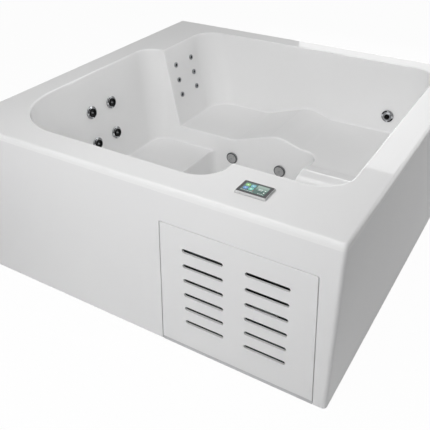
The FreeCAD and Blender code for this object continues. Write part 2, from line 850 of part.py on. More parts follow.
def make_access_panel():
    panel = new_body("access_panel")
    face = new_sketch(panel, "panel_face", "XZ_Plane", -front_side)
    outline(face, opening_corners(-panel_gap, panel_foot, opening_round - panel_gap))
    plate = pad(panel, face, skirt_wall, reverse=True)
    front_edge = front_side.value

    def on_front(edge):
        return all(abs(vertex.Y - front_edge) < 1e-4 for vertex in edge.Vertexes)

    soften(panel, plate, panel_edge_round, on_front)
    louvre = new_sketch(panel, "panel_louvre", "XZ_Plane", -front_side)
    for side in (-1, 1):
        middle = opening_x + side * slot_spread / 2
        outline(louvre, rectangle(middle - slot_length / 2, middle + slot_length / 2,
                                  slot_top - slot_height / 2,
                                  slot_top + slot_height / 2, (slot_round,) * 4))
    slots = pocket(panel, louvre, 2 * skirt_wall)
    column = panel.newObject("PartDesign::LinearPattern", "panel_slots")
    column.Originals = [slots]
    column.Direction = (origin_plane(panel, "Z_Axis"), [""])
    column.Reversed = True
    bind(column, "Length", slot_pitch * (slot_rows - 1))
    bind(column, "Occurrences", slot_rows)
    panel.Tip = column
    node("access_panel", panel)

    studs = new_body("panel_studs")
    heads = new_sketch(studs, "stud_circles", "XZ_Plane", -panel_back)
    for x, level in stud_places():
        circle(heads, x, level, stud_radius)
    studs.AllowCompound = True
    pad(studs, heads, stud_length, reverse=True)
    node("panel_studs", studs)

    ledge = new_body("panel_ledge")
    frame_face = new_sketch(ledge, "ledge_face", "XZ_Plane", -ledge_face)
    outline(frame_face, opening_corners(ledge_width, tray_height + glue_line, opening_round))
    inside = opening_corners(-ledge_width, panel_foot + 2 * ledge_width, opening_round)
    outline(frame_face, inside)
    for x, level in stud_places():
        circle(frame_face, x, level, stud_radius + stud_clearance)
    pad(ledge, frame_face, ledge_thick, reverse=True)
    node("panel_ledge", ledge)


# Foam blocks: boxes that fill the skirt, with the basin and the pipe channels taken out
deck_under = height - shell_wall - glue_line
foam_foot = tray_height + glue_line
split_level = bench_level - shell_wall - glue_line
split_bench = bench_edge + overshoot
split_right = well_right - overshoot
split_front = well_front + bench_front_corner
split_low = well_front + overshoot
split_partition = partition - overshoot
split_left = bench_left + bench_lean + bench_back_corner
split_head = backrest_foot + head_corner
split_riser = riser_face - overshoot
lining_face = well_front - shell_wall - bay_lining
bay_back = seat_front - shell_wall - bay_lining
bay_left = well_right + shell_wall + bay_lining
bay_end = opening_x - opening_base_width / 2 - bay_margin
bay_roof = deck_under - bay_lining


def make_foam(channels):
    blocks = {
        "foam_floor": [(split_bench, split_right, split_low, split_partition, foam_foot, footwell_level)],
        "foam_bench": [(inner_left, split_bench, inner_front, split_partition, foam_foot, split_level)],
        "foam_front": [(inner_left, bay_end, inner_front, split_front, split_level, deck_under),
                       (split_bench, bay_end, inner_front, split_low, foam_foot, split_level),
                       (bay_end, bay_left, lining_face, split_low, foam_foot, bay_roof),
                       (split_right, bay_left, split_low, bay_back, foam_foot, bay_roof),
                       (bay_end, bay_left, inner_front, bay_back, bay_roof, deck_under)],
        "foam_left": [(inner_left, split_left, split_front, split_partition, split_level, deck_under)],
        "foam_headrest": [(inner_left, split_head, split_partition, inner_back, foam_foot, deck_under)],
        "foam_lounger": [(split_head, split_right, split_partition, inner_back, foam_foot, deck_under)],
        "foam_step": [(split_right, inner_right, split_riser, inner_back, foam_foot, deck_under)],
        "foam_seat": [(split_right, inner_right, bay_back, split_riser, foam_foot, deck_under),
                      (bay_left, inner_right, inner_front, bay_back, bay_roof, deck_under)],
    }
    hollow = joined("Part::MultiFuse", "foam_hollow", [foam_inside] + make_sockets() + channels)
    room = new_body("foam_room")
    corner = corner_round - skirt_wall - glue_line
    floor_plan = outline(new_sketch(room, "foam_plan", "XY_Plane", foam_foot),
                         rectangle(inner_left, inner_right, inner_front, inner_back, (corner,) * 4))
    pad(room, floor_plan, deck_under - foam_foot)
    filling = cut("foam_filling", room, hollow)
    for label, bounds in blocks.items():
        pieces = [box(f"{label}_block_{index}", *bound) for index, bound in enumerate(bounds)]
        block = doc.addObject("Part::Common", label)
        block.Base = filling
        block.Tool = joined("Part::MultiFuse", f"{label}_blocks", pieces)
        node(label, block)


# Large jets and suctions: gasket and flange on the wall, a barrel through it, a nut behind it
flange_top = jet_gasket + jet_flange
bezel_foot = flange_top + jet_fit
bezel_top = bezel_foot + jet_bezel
sleeve = jet_barrel - jet_wall - jet_fit


def make_barrel(name, sizes, ports):
    """A cup with a flange on the wall and side ports for the pipes behind it."""
    barrel, wall, length, rim, rim_low, rim_top = sizes
    cup = turned(f"{name}_cup", [(0, -length, None), (barrel, -length, None), (barrel, rim_low, None),
                                 (rim, rim_low, None), (rim, rim_top, None), (0, rim_top, None)])
    core = turned(f"{name}_core", ring(0, barrel - wall, wall - length, rim_top))
    stubs = [port(f"{name}_port_{index}", 0) for index, port in enumerate(ports)]
    bores = [port(f"{name}_port_bore_{index}", -wall) for index, port in enumerate(ports)]
    solid = joined("Part::MultiFuse", f"{name}_outside", [cup] + stubs)
    return cut(name, solid, joined("Part::MultiFuse", f"{name}_inside", [core] + bores))


def side_port(turn_axis, angle, radius, reach, behind):
    """A port that leaves a barrel sideways, in the direction that Z is turned to."""
    def make(name, extra):
        return cylinder(name, radius + extra, reach, 0, 0, -behind, turn_axis, angle)
    return make


large_sizes = (jet_barrel, jet_wall, jet_depth, jet_radius - jet_flange_inset, jet_gasket, flange_top)
small_sizes = (small_barrel, small_wall, small_depth, small_radius - jet_flange_inset, as_size(0),
               small_flange)
port_ahead = side_port(y_axis, 90, port_radius, port_reach, port_depth)
port_behind = side_port(y_axis, -90, port_radius, port_reach, port_depth)
port_down = side_port(x_axis, 90, port_radius, port_reach, port_depth)
small_ahead = side_port(y_axis, 90, small_port_radius, small_port_reach, small_port_depth)
small_behind = side_port(y_axis, -90, small_port_radius, small_port_reach, small_port_depth)


def make_sockets():
    """The room that the barrels, nuts and ports behind the walls need in the foam."""
    large = (nut_radius + lug_tall, jet_depth)
    small = (small_radius, small_depth)
    kinds = {
        "down": (large, [port_ahead], bench_jet_places[:2] + [foot_jet_place]),
        "up": (large, [port_behind], bench_jet_places[2:]),
        "suction": (large, [port_down], suction_places),
        "small_top": (small, [small_ahead], back_jet_places[:2]),
        "small_through": (small, [small_ahead, small_behind], back_jet_places[2:]),
    }
    sockets = [cylinder("stem_socket", stem_radius + channel_gap, stem_length + channel_gap, control_x,
                        control_y,
                        height - stem_length - channel_gap)]
    for kind, ((radius, reach), ports, spots) in kinds.items():
        name = f"{kind}_socket"
        room = turned(f"{name}_room", ring(0, radius + channel_gap, -reach - channel_gap, 0))
        members = [port(f"{name}_port_{index}", channel_gap) for index, port in enumerate(ports)]
        sockets += copies(joined("Part::MultiFuse", f"{name}_master", [room] + members), name, spots)
    return sockets


def make_jets():
    upper_body = make_barrel("jet_body_upper", large_sizes, [port_ahead])
    lower_body = make_barrel("jet_body_lower", large_sizes, [port_behind])
    suction_cup = make_barrel("suction_cup", large_sizes, [port_down])
    post = turned("suction_post", ring(suction_screw + jet_fit, suction_screw * post_share,
                                       jet_wall - jet_depth,
                                       flange_top))
    suction = joined("Part::MultiFuse", "suction_body_master", [suction_cup, post])
    gasket = turned("jet_gasket_master", ring(jet_hole, jet_radius - jet_flange_inset, 0, jet_gasket))
    nut = turned("jet_nut_master", ring(jet_barrel + jet_fit, nut_radius, -shell_wall - jet_fit - nut_length,
                                        -shell_wall - jet_fit))
    hold = sketch_lugs(nut)
    polar(nut, hold, grip_count * 2)
    round_places = jet_places + suction_places
    node("jet_gaskets", joined("Part::Compound", "jet_gaskets", copies(gasket, "gasket", round_places)))
    node("jet_nuts", joined("Part::Compound", "jet_nuts", copies(nut, "nut", round_places)))
    bodies = copies(upper_body, "jet_body_down", bench_jet_places[:2] + [foot_jet_place])
    bodies += copies(lower_body, "jet_body_up", bench_jet_places[2:])
    node("jet_bodies", joined("Part::Compound", "jet_bodies", bodies))
    cups = copies(suction, "suction_body", suction_places)
    node("suction_bodies", joined("Part::Compound", "suction_bodies", cups))

    inside = sleeve - bezel_sleeve
    crown = bezel_top - jet_bezel / 2
    bezel = turned("bezel_master", [
        (inside, -jet_ball, None), (sleeve, -jet_ball, None), (sleeve, bezel_foot, None),
        (jet_radius, bezel_foot, None), (jet_radius, bezel_top, jet_bezel * bezel_round_share),
        (jet_mouth, bezel_top, mouth_round), (jet_mouth, crown, None), (inside, crown, None)])
    groove = grip_slot(bezel)
    polar(bezel, groove, grip_count)
    nozzle = make_eyeball("nozzle_master", jet_ball, -jet_ball_drop, jet_ball_face)
    names = [f"bench_jet_{kind}_{number}" for kind in ("bezel", "nozzle") for number in (1, 2, 3, 4)]
    for label, spot in zip(names, bench_jet_places * 2):
        node(label, copy_of(bezel if "bezel" in label else nozzle, label, spot))
    node("foot_jet_bezel", copy_of(bezel, "foot_jet_bezel", foot_jet_place))
    node("foot_jet_nozzle", copy_of(nozzle, "foot_jet_nozzle", foot_jet_place))


def sketch_lugs(nut):
    """One grip lug on the rim of a nut."""
    lug = outline(new_sketch(nut, "nut_lug", "XY_Plane", -shell_wall - jet_fit - nut_length),
                  rectangle(nut_radius - jet_wall, nut_radius + lug_tall, -lug_wide / 2, lug_wide / 2))
    return pad(nut, lug, nut_length)


def grip_slot(bezel):
    """One curved finger groove in the face of a bezel."""
    sketch = new_sketch(bezel, "bezel_grip", "XY_Plane", bezel_top)
    first = grip_turn - grip_sweep / 2
    last = grip_turn + grip_sweep / 2
    inner, outer = [Part.ArcOfCircle(Part.Circle(FreeCAD.Vector(), FreeCAD.Vector(0, 0, 1), radius.value),
                                     math.radians(first.value), math.radians(last.value))
                    for radius in (grip_inner, grip_outer)]
    near = sketch.addGeometry(inner)
    far = sketch.addGeometry(outer)
    right = sketch.addGeometry(Part.LineSegment(inner.StartPoint, outer.StartPoint))
    left = sketch.addGeometry(Part.LineSegment(outer.EndPoint, inner.EndPoint))
    for one, one_end, two, two_end in ((near, 1, right, 1), (right, 2, far, 1), (far, 2, left, 1),
                                       (left, 2, near, 2)):
        sketch.addConstraint(Sketcher.Constraint("Coincident", one, one_end, two, two_end))
    for arc, radius in ((near, grip_inner), (far, grip_outer)):
        sketch.addConstraint(Sketcher.Constraint("Coincident", arc, 3, -1, 1))
        rule = sketch.addConstraint(Sketcher.Constraint("Radius", arc, radius.value))
        bind(sketch, f"Constraints[{rule}]", radius)
        for end, angle in ((1, first), (2, last)):
            reach = radius * cosine(angle)
            rule = sketch.addConstraint(Sketcher.Constraint("DistanceX", -1, 1, arc, end, reach.value))
            bind(sketch, f"Constraints[{rule}]", reach)
    return pocket(bezel, sketch, grip_deep)


def make_eyeball(name, radius, centre, face):
    """A ball with a flat face, a hollow in the face and a nozzle hole right through."""
    ball = doc.addObject("Part::Sphere", f"{name}_ball")
    bind(ball, "Radius", radius)
    rise = face - centre
    ball.setExpression("Angle2", f"asin({rise.text} / {radius.text})")
    ball.setExpression("Angle1", f"0 deg - asin({rise.text} / {radius.text})")
    place(ball, 0, 0, centre)
    hole = radius * nozzle_hole_share
    tip = hole + jet_wall * radius / jet_ball
    rim = root(radius * radius - rise * rise) * nozzle_rim_share
    hollow = turned(f"{name}_hollow", [
        (0, -2 * radius, None), (hole, -2 * radius, None), (hole, face - radius / 8, None),
        (tip, face - radius / 8, None), (tip, face - radius / 3, None), (rim, face, None),
        (rim, face + 1, None),
        (0, face + 1, None)])
    return cut(name, ball, hollow)


# Small jets in the backrest: barrel, chrome ring and eyeball
def make_small_jets():
    top_body = make_barrel("small_body_top", small_sizes, [small_ahead])
    through_body = make_barrel("small_body_through", small_sizes, [small_ahead, small_behind])
    bodies = copies(top_body, "back_jet_top_body", back_jet_places[:2])
    bodies += copies(through_body, "back_jet_through_body", back_jet_places[2:])
    node("back_jet_bodies", joined("Part::Compound", "back_jet_bodies", bodies))
    crown = small_flange + glue_line
    chrome = turned("small_ring_master", [
        (small_mouth, crown, None), (small_radius, crown, None),
        (small_radius, crown + small_ring, small_ring * ring_round_share),
        (small_mouth, crown + small_ring, mouth_round)])
    eyeball = make_eyeball("small_ball_master", small_ball, -small_ball_drop, small_ball_face)
    rings = copies(chrome, "back_jet_ring", back_jet_places)
    node("back_jet_rings", joined("Part::Compound", "back_jet_rings", rings))
    for index, spot in enumerate(back_jet_places, 1):
        node(f"back_jet_nozzle_{index}", copy_of(eyeball, f"back_jet_nozzle_{index}", spot))


# Suction covers: a slotted dome held by one screw
def make_suction_covers():
    foot = flange_top + glue_line
    top = foot + suction_dome
    hole = suction_screw + jet_fit
    cover = turned("cover_master", [
        (hole, foot, None), (jet_radius, foot, None), (jet_radius, foot + suction_dome / 2, mouth_round),
        (jet_radius * dome_share, top, suction_dome), (hole, top, None)])
    slot = outline(new_sketch(cover, "cover_slot", "XY_Plane", top),
                   rectangle(jet_radius * slot_inner_share, jet_radius * slot_outer_share, -suction_slot / 2,
                             suction_slot / 2))
    polar(cover, pocket(cover, slot, 2 * suction_dome), suction_slots)
    head = suction_screw * screw_head_share
    screw = turned("screw_master", [
        (0, -jet_gasket, None), (suction_screw, -jet_gasket, None), (suction_screw, top + jet_fit, None),
        (head, top + jet_fit, None), (head, top + suction_screw, mouth_round),
        (0, top + suction_screw, None)])
    covers = copies(cover, "suction_cover", suction_places)
    screws = copies(screw, "suction_screw_copy", suction_places)
    node("suction_covers", joined("Part::Compound", "suction_covers", covers))
    node("suction_screws", joined("Part::Compound", "suction_screws", screws))


# Pipes: straight runs and bends of one bore, and the channels that they need in the foam
def straight(x, y, z, axis, angle, length, radius=None):
    """A straight pipe from a point, in the direction that Z is turned to."""
    def make(name, extra):
        return cylinder(name, (radius or pipe_radius) + extra, length, x, y, z, axis, angle)
    return make


def bent(role, level, route):
    """A pipe in one plane through points, with a bend at each inner one; it starts along the plane's X."""
    def make(name, extra):
        body = new_body(name)
        path = outline(new_sketch(body, f"{name}_path", role, level), route, closed=False)
        start_x, start_y = route[0][:2]
        if role == "XY_Plane":
            section = circle(new_sketch(body, f"{name}_section", "YZ_Plane", start_x), start_y, level,
                             pipe_radius + extra)
        else:
            section = circle(new_sketch(body, f"{name}_section", "XY_Plane", start_y), start_x, -level,
                             pipe_radius + extra)
        pipe = body.newObject("PartDesign::AdditivePipe", f"{name}_pipe")
        pipe.Profile = section
        pipe.Spine = (path, [f"Edge{index + 1}" for index in range(2 * len(route) - 3)])
        return body
    return make


channels = []


def pipework(label, runs, wall=None):
    """Pipes joined into one hollow piece; their channel is kept for the foam."""
    layers = {}
    for layer, extra in (("outside", as_size(0)), ("bore", -(wall or pipe_wall)), ("channel", channel_gap)):
        layers[layer] = [run(f"{label}_{layer}_{index}", extra) for index, run in enumerate(runs)]
    channels.extend(layers["channel"])
    node(label, cut(label, joined("Part::MultiFuse", f"{label}_outside", layers["outside"]),
                    joined("Part::MultiFuse", f"{label}_bore", layers["bore"])))


supply_y = front_side + supply_setback
pump_y = supply_y + discharge_offset
motor_end = motor_x + motor_length
wet_end_start = motor_end + glue_line
wet_end_end = wet_end_start + wet_end_length
inlet_end = wet_end_end + inlet_length
discharge_x = wet_end_start + wet_end_length / 2
discharge_top = pump_level + wet_end_radius + union_length / 2
outlet_end = discharge_x + pipe_bend + pipe_tail
foot_run_x = outlet_end + pipe_bend + pipe_tail
foot_run_y = basin_back + port_depth
suction_run_x = right_side - suction_run_setback
suction_run_y = partition + port_depth
suction_run_end = suction_xs[0] - suction_tail
bench_mid_level = (bench_jet_upper + bench_jet_lower) / 2
main_x = on_bench_wall(bench_mid_level, bench_jet_middle)[0] - port_depth * cosine(bench_angle)
main_level = bench_mid_level - port_depth * sine(bench_angle)
manifold_half = bench_jet_spacing / 2 + manifold_margin
back_row_low = back_jet_top - 2 * back_jet_pitch
heater_right = discharge_x - pipe_radius - union_length / 2
heater_left = heater_right - heater_length
filter_y = front_side + filter_setback
filter_outlet = filter_x - filter_radius - union_length


def make_pipes():
    pipework("suction_line", [
        bent("XY_Plane", suction_run_level, [(inlet_end, pump_y, None), (suction_run_x, pump_y, pipe_bend),
                                             (suction_run_x, suction_run_y, pipe_bend),
                                             (suction_run_end, suction_run_y, None)]),
        straight(suction_run_x, pump_y + pipe_bend, suction_run_level, x_axis, 90, pipe_bend + drain_stub)]
        + [straight(x, suction_run_y, suction_run_level, None, None,
                    suction_level - port_reach - suction_run_level,
                    port_radius + pipe_wall) for x in suction_xs])
    pipework("outlet_pipe", [
        bent("XZ_Plane", -supply_y, [(discharge_x, discharge_top, None),
                                     (discharge_x, foot_jet_level, pipe_bend),
                                     (outlet_end, foot_jet_level, None)]),
        straight(discharge_x, supply_y, heater_level, y_axis, -90, discharge_x - heater_right)])
    pipework("foot_jet_pipe", [
        bent("XY_Plane", foot_jet_level, [(outlet_end, supply_y, None), (foot_run_x, supply_y, pipe_bend),
                                          (foot_run_x, foot_run_y, pipe_bend),
                                          (foot_jet_x + port_reach, foot_run_y, None)])])
    pipework("supply_main", [
        bent("XY_Plane", main_level, [(filter_outlet, supply_y, None), (main_x, supply_y, main_bend),
                                      (main_x, bench_jet_middle - manifold_half, None)])])
    slope_half = (bench_jet_upper - bench_jet_lower) / 2 / cosine(bench_angle) - port_reach
    down_slope = 180 - bench_angle
    pipework("bench_jet_manifold", [
        straight(main_x, bench_jet_middle - manifold_half, main_level, x_axis, -90, 2 * manifold_half)]
        + [straight(main_x - slope_half * sine(bench_angle), bench_jet_middle + side * bench_jet_spacing / 2,
                    main_level + slope_half * cosine(bench_angle), y_axis, down_slope, 2 * slope_half,
                    port_radius + pipe_wall) for side in (-1, 1)])
    # The backrest's jets hang in two columns from a cross pipe that the bench manifold feeds
    rise = cosine(backrest_angle)
    set_back = sine(backrest_angle)

    def behind_backrest(level):
        """The point behind the backrest, on the line of its small ports, that belongs to a jet at a level."""
        x = on_backrest(level, back_jet_middle)[0]
        return x - small_port_depth * rise, level - small_port_depth * set_back

    low_x, low_z = behind_backrest(back_row_low)
    feed_x = low_x + lounger_feed_drop * set_back
    feed_level = low_z - lounger_feed_drop * rise
    riser_x = feed_x - lounger_riser
    slope = 180 - backrest_angle
    between = back_jet_pitch / rise - 2 * small_port_reach
    runs = [bent("XY_Plane", main_level, [(riser_x, back_jet_middle, None),
                                          (main_x, back_jet_middle, pipe_bend),
                                          (main_x, bench_jet_middle + manifold_half, None)]),
            straight(riser_x, back_jet_middle, feed_level - pipe_radius, None, None,
                     main_level - feed_level + 2 * pipe_radius),
            straight(riser_x, back_jet_middle, feed_level, y_axis, 90, lounger_riser,
                     small_port_radius + pipe_wall),
            straight(feed_x, back_jet_middle - back_jet_spacing / 2, feed_level, x_axis, -90,
                     back_jet_spacing,
                     small_port_radius + pipe_wall)]
    for side in (-1, 1):
        along = back_jet_middle + side * back_jet_spacing / 2
        runs.append(straight(low_x + small_port_reach * set_back, along, low_z - small_port_reach * rise,
                             y_axis,
                             slope, lounger_feed_drop - small_port_reach, small_port_radius + small_wall))
        for row in (0, 1):
            x, z = behind_backrest(back_jet_top - row * back_jet_pitch)
            runs.append(straight(x + small_port_reach * set_back, along, z - small_port_reach * rise,
                                 y_axis, slope,
                                 between, small_port_radius + small_wall))
    pipework("lounger_jet_manifold", runs)


# Pump: a finned motor on two saddles, a volute with an axial inlet and an upright outlet
def make_pump():
    motor = turned("pump_motor", [
        (0, 0, None), (motor_radius - fin_tall, 0, fin_tall), (motor_radius - fin_tall,
                                                               motor_length - fin_tall, None),
        (motor_radius, motor_length - fin_tall, None), (motor_radius, motor_length, None),
        (0, motor_length, None)])
    fin = outline(new_sketch(motor, "motor_fin", "XY_Plane", fin_start),
                  rectangle(motor_radius - 2 * fin_tall, motor_radius, -fin_thick / 2, fin_thick / 2))
    polar(motor, pad(motor, fin, motor_length - fin_start - fin_tall), fin_count)
    place(motor, motor_x, pump_y, pump_level, y_axis, 90)
    node("pump_motor", motor)

    volute = turned("pump_volute", [
        (0, 0, None), (wet_end_radius, 0, fin_tall), (wet_end_radius, wet_end_length * volute_share,
                                                      fin_tall),
        (pipe_radius, wet_end_length, None), (pipe_radius, wet_end_length + inlet_length, None),
        (0, wet_end_length + inlet_length, None)])
    place(volute, wet_end_start, pump_y, pump_level, y_axis, 90)
    outlet = cylinder("pump_outlet", pipe_radius, discharge_top - pump_level, discharge_x, supply_y,
                      pump_level)
    bores = [cylinder("pump_inlet_bore", pipe_radius - pipe_wall, inlet_length + wet_end_length / 2,
                      inlet_end, pump_y, pump_level, y_axis, -90),
             cylinder("pump_outlet_bore", pipe_radius - pipe_wall, discharge_top - pump_level, discharge_x,
                      supply_y,
                      pump_level)]
    node("pump_wet_end", cut("pump_wet_end", joined("Part::MultiFuse", "pump_casing", [volute, outlet]),
                             joined("Part::MultiFuse", "pump_bores", bores)))

    cradle = cylinder("motor_room", motor_radius + jet_fit, motor_length, motor_x, pump_y, pump_level,
                      y_axis, 90)
    saddles = []
    for index, side in enumerate((-1, 1)):
        middle = motor_x + motor_length / 2 + side * foot_spread / 2
        block = box(f"saddle_block_{index}", middle - foot_thick / 2, middle + foot_thick / 2,
                    pump_y - saddle_half,
                    pump_y + saddle_half, tray_height, pump_level - motor_radius / 2)
        saddles.append(cut(f"saddle_{index}", block, cradle))
    node("pump_feet", joined("Part::Compound", "pump_feet", saddles))


# Union nuts over the butt joints of the pump and the heater
def make_unions():
    nut = turned("union_master", ring(pipe_radius + jet_fit, union_radius - lug_tall, -union_length / 2,
                                      union_length / 2))
    lug = outline(new_sketch(nut, "union_lug", "XY_Plane", -union_length / 2),
                  rectangle(union_radius - 2 * lug_tall, union_radius, -lug_wide / 2, lug_wide / 2))
    polar(nut, pad(nut, lug, union_length), grip_count * 2)
    across = (y_axis, upright)
    spots = [(inlet_end, pump_y, pump_level) + across, (discharge_x, supply_y, discharge_top, y_axis,
                                                        as_size(0)),
             (heater_right, supply_y, heater_level) + across, (heater_left, supply_y, heater_level) + across]
    node("union_nuts", joined("Part::Compound", "union_nuts", copies(nut, "union_nut", spots)))


# Heater: a tube with necks at both ends
def make_heater():
    neck = union_length + heater_radius - pipe_radius
    tube = turned("heater_shell", [
        (0, 0, None), (pipe_radius, 0, None), (pipe_radius, union_length, None), (heater_radius, neck, None),
        (heater_radius, heater_length - neck, None), (pipe_radius, heater_length - union_length, None),
        (pipe_radius, heater_length, None), (0, heater_length, None)])
    place(tube, heater_left, supply_y, heater_level, y_axis, 90)
    bore = cylinder("heater_bore", pipe_radius - pipe_wall, heater_length, heater_left, supply_y,
                    heater_level,
                    y_axis, 90)
    node("heater_tube", cut("heater_tube", tube, bore))


# Filter: a canister on the tray with a pleated cartridge and a quarter-turn lid
filter_foot = tray_height + glue_line
filter_top = filter_foot + filter_tall


def make_filter():
    wall = cylinder("canister_wall", filter_radius, filter_tall, filter_x, filter_y, filter_foot)
    inlet = cylinder("canister_inlet", pipe_radius, heater_left - filter_x, filter_x, supply_y,
                     heater_level,
                     y_axis, 90)
    outlet = cylinder("canister_outlet", pipe_radius, filter_x - filter_outlet, filter_x, supply_y,
                      main_level,
                      y_axis, -90)
    hollows = [
        cylinder("canister_room", filter_radius - filter_wall, filter_tall - filter_wall, filter_x,
                 filter_y,
                 filter_foot + filter_wall),
        cylinder("canister_inlet_bore", pipe_radius - pipe_wall, heater_left - filter_x, filter_x,
                 supply_y,
                 heater_level, y_axis, 90),
        cylinder("canister_outlet_bore", pipe_radius - pipe_wall, filter_x - filter_outlet,
                 filter_x, supply_y,
                 main_level, y_axis, -90)]
    outside = joined("Part::MultiFuse", "canister_outside", [wall, inlet, outlet])
    inside = joined("Part::MultiFuse", "canister_inside", hollows)
    node("filter_canister", cut("filter_canister", outside, inside))

    plug = filter_radius - filter_wall - jet_fit
    lid = turned("filter_lid", [
        (0, -lid_tall, None), (plug, -lid_tall, nipple_round), (plug, jet_fit, None),
        (filter_radius + filter_wall, jet_fit, None),
        (filter_radius + filter_wall, lid_tall, filter_wall), (0, lid_tall, None)])
    lug = outline(new_sketch(lid, "lid_lug", "XY_Plane", jet_fit),
                  rectangle(filter_radius, filter_radius + 2 * filter_wall, -lug_wide, lug_wide))
    polar(lid, pad(lid, lug, lid_tall / 2), lid_lugs)
    place(lid, filter_x, filter_y, filter_top)
    node("filter_lid", lid)

    length = filter_tall - filter_wall - lid_tall - 2 * jet_fit
    cartridge = turned("filter_cartridge", ring(pipe_radius, cartridge_radius, 0, length))
    pleat = outline(new_sketch(cartridge, "cartridge_pleat", "XY_Plane", length),
                    [(cartridge_radius - pleat_deep, 0, None),
                     (cartridge_radius + pipe_wall, -pleat_wide / 2, None),
                     (cartridge_radius + pipe_wall, pleat_wide / 2, None)])
    polar(cartridge, pocket(cartridge, pleat, length), cartridge_pleats)
    place(cartridge, filter_x, filter_y, filter_foot + filter_wall + jet_fit)
    node("filter_cartridge", cartridge)


# Control box: a hollow case on the back of the bay and its lid
def make_control_box():
    case = new_body("control_box")
    box_back = bay_back - glue_line
    box_face = box_back - box_deep
    right = box_x + box_wide
    base = bay_roof - box_base
    top = base + box_tall
    shape = outline(new_sketch(case, "case_outline", "XZ_Plane", -box_back),
                    rectangle(box_x, right, base, top, (box_round,) * 4))
    pad(case, shape, box_deep)
    room = outline(new_sketch(case, "case_room", "XZ_Plane", -box_face),
                   rectangle(box_x + box_wall, right - box_wall, base + box_wall, top - box_wall,
                             (box_round - box_wall,) * 4))
    pocket(case, room, box_deep - box_wall)
    node("control_box", case)
    lid = new_body("control_box_lid")
    cover = outline(new_sketch(lid, "lid_outline", "XZ_Plane", -box_face),
                    rectangle(box_x, right, base, top, (box_round,) * 4))
    plate = pad(lid, cover, box_lid)
    face_y = (box_face - box_lid).value
    soften(lid, plate, box_wall, lambda edge: all(abs(vertex.Y - face_y) < 1e-4 for vertex in edge.Vertexes))
    node("control_box_lid", lid)


# Drain: a ball valve on the low end of the suction line, with a quarter-turn lever
valve_y = pump_y - drain_stub
valve_middle = valve_y - valve_length / 2
stem_foot = suction_run_level + valve_radius


def make_drain():
    body = turned("drain_body", [
        (0, 0, None), (pipe_radius, 0, None), (pipe_radius, pipe_tail, None), (valve_radius, pipe_tail, None),
        (valve_radius, valve_length - pipe_tail, None), (pipe_radius, valve_length - pipe_tail, None),
        (pipe_radius, valve_length + pipe_tail, nipple_round), (0, valve_length + pipe_tail, None)])
    place(body, suction_run_x, valve_y, suction_run_level, x_axis, 90)
    stem = cylinder("drain_stem", lever_stem, valve_radius + 2 * lever_thick, suction_run_x, valve_middle,
                    suction_run_level)
    node("drain_valve", joined("Part::MultiFuse", "drain_valve", [body, stem]))
    lever = new_body("drain_lever")
    arm = outline(new_sketch(lever, "lever_arm", "XY_Plane"),
                  rectangle(-lever_length, lever_wide, -lever_wide / 2, lever_wide / 2,
                            (lever_wide * lever_end_share,) * 4))
    pad(lever, arm, lever_thick)
    eye = circle(new_sketch(lever, "lever_eye", "XY_Plane", lever_thick), 0, 0, lever_stem + lever_gap)
    pocket(lever, eye, lever_thick)
    place(lever, suction_run_x, valve_middle, stem_foot + lever_gap)
    node("drain_lever", lever)


make_control_panel()
hole_for_jet = turned("hole_for_jet", ring(0, jet_hole, -2 * shell_wall, shell_wall))
hole_for_small_jet = turned("hole_for_small_jet", ring(0, small_barrel + jet_fit, -2 * shell_wall,
                                                       shell_wall))
hole_for_stem = cylinder("hole_for_stem", stem_radius + jet_fit, 3 * shell_wall, control_x, control_y,
                         height - 2 * shell_wall)
shell_holes = joined("Part::MultiFuse", "shell_holes", copies(hole_for_jet, "jet_hole",
                                                              jet_places + suction_places)
                     + copies(hole_for_small_jet, "small_jet_hole", back_jet_places) + [hole_for_stem])
make_tub_shell(shell_holes)
make_skirt()
make_base_tray()
make_access_panel()
make_jets()
make_small_jets()
make_suction_covers()
make_pipes()
make_pump()
make_unions()
make_heater()
make_filter()
make_control_box()
make_drain()
make_foam(channels)
doc.recompute()
for thing in doc.Objects:
    if "Invalid" in thing.State or "Error" in thing.State:
        raise RuntimeError(f"{thing.Name}: {thing.getStatusString()}")
shapes = {label: Part.getShape(thing) for label, thing in nodes.items()}
for label, shape in shapes.items():
    if shape.isNull() or not shape.isValid():
        raise RuntimeError(f"{label} has no valid shape")
os.makedirs("parts", exist_ok=True)
for label, shape in shapes.items():
    shape.exportStep(f"parts/{label}.step")
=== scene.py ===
import json
import math

import bmesh
import bpy
from mathutils import Matrix, Vector


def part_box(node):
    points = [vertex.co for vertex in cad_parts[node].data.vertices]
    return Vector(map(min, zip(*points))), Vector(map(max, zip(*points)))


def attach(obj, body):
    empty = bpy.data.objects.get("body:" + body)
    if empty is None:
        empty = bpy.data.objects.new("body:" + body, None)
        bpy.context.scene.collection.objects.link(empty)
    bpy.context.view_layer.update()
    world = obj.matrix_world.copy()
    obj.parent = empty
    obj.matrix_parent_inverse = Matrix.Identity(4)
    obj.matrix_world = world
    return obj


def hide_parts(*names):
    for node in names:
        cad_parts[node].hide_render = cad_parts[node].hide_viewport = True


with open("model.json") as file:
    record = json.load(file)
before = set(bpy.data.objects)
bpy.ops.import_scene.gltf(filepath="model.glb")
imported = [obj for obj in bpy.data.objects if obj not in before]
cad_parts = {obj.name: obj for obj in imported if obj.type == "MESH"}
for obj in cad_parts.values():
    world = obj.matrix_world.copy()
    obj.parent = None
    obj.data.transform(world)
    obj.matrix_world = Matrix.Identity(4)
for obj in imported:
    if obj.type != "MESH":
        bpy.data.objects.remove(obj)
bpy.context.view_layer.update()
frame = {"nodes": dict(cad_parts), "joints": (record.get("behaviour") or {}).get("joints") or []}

nodes = frame["nodes"]
joints = {joint["name"]: joint for joint in frame["joints"]}
mm = 0.001


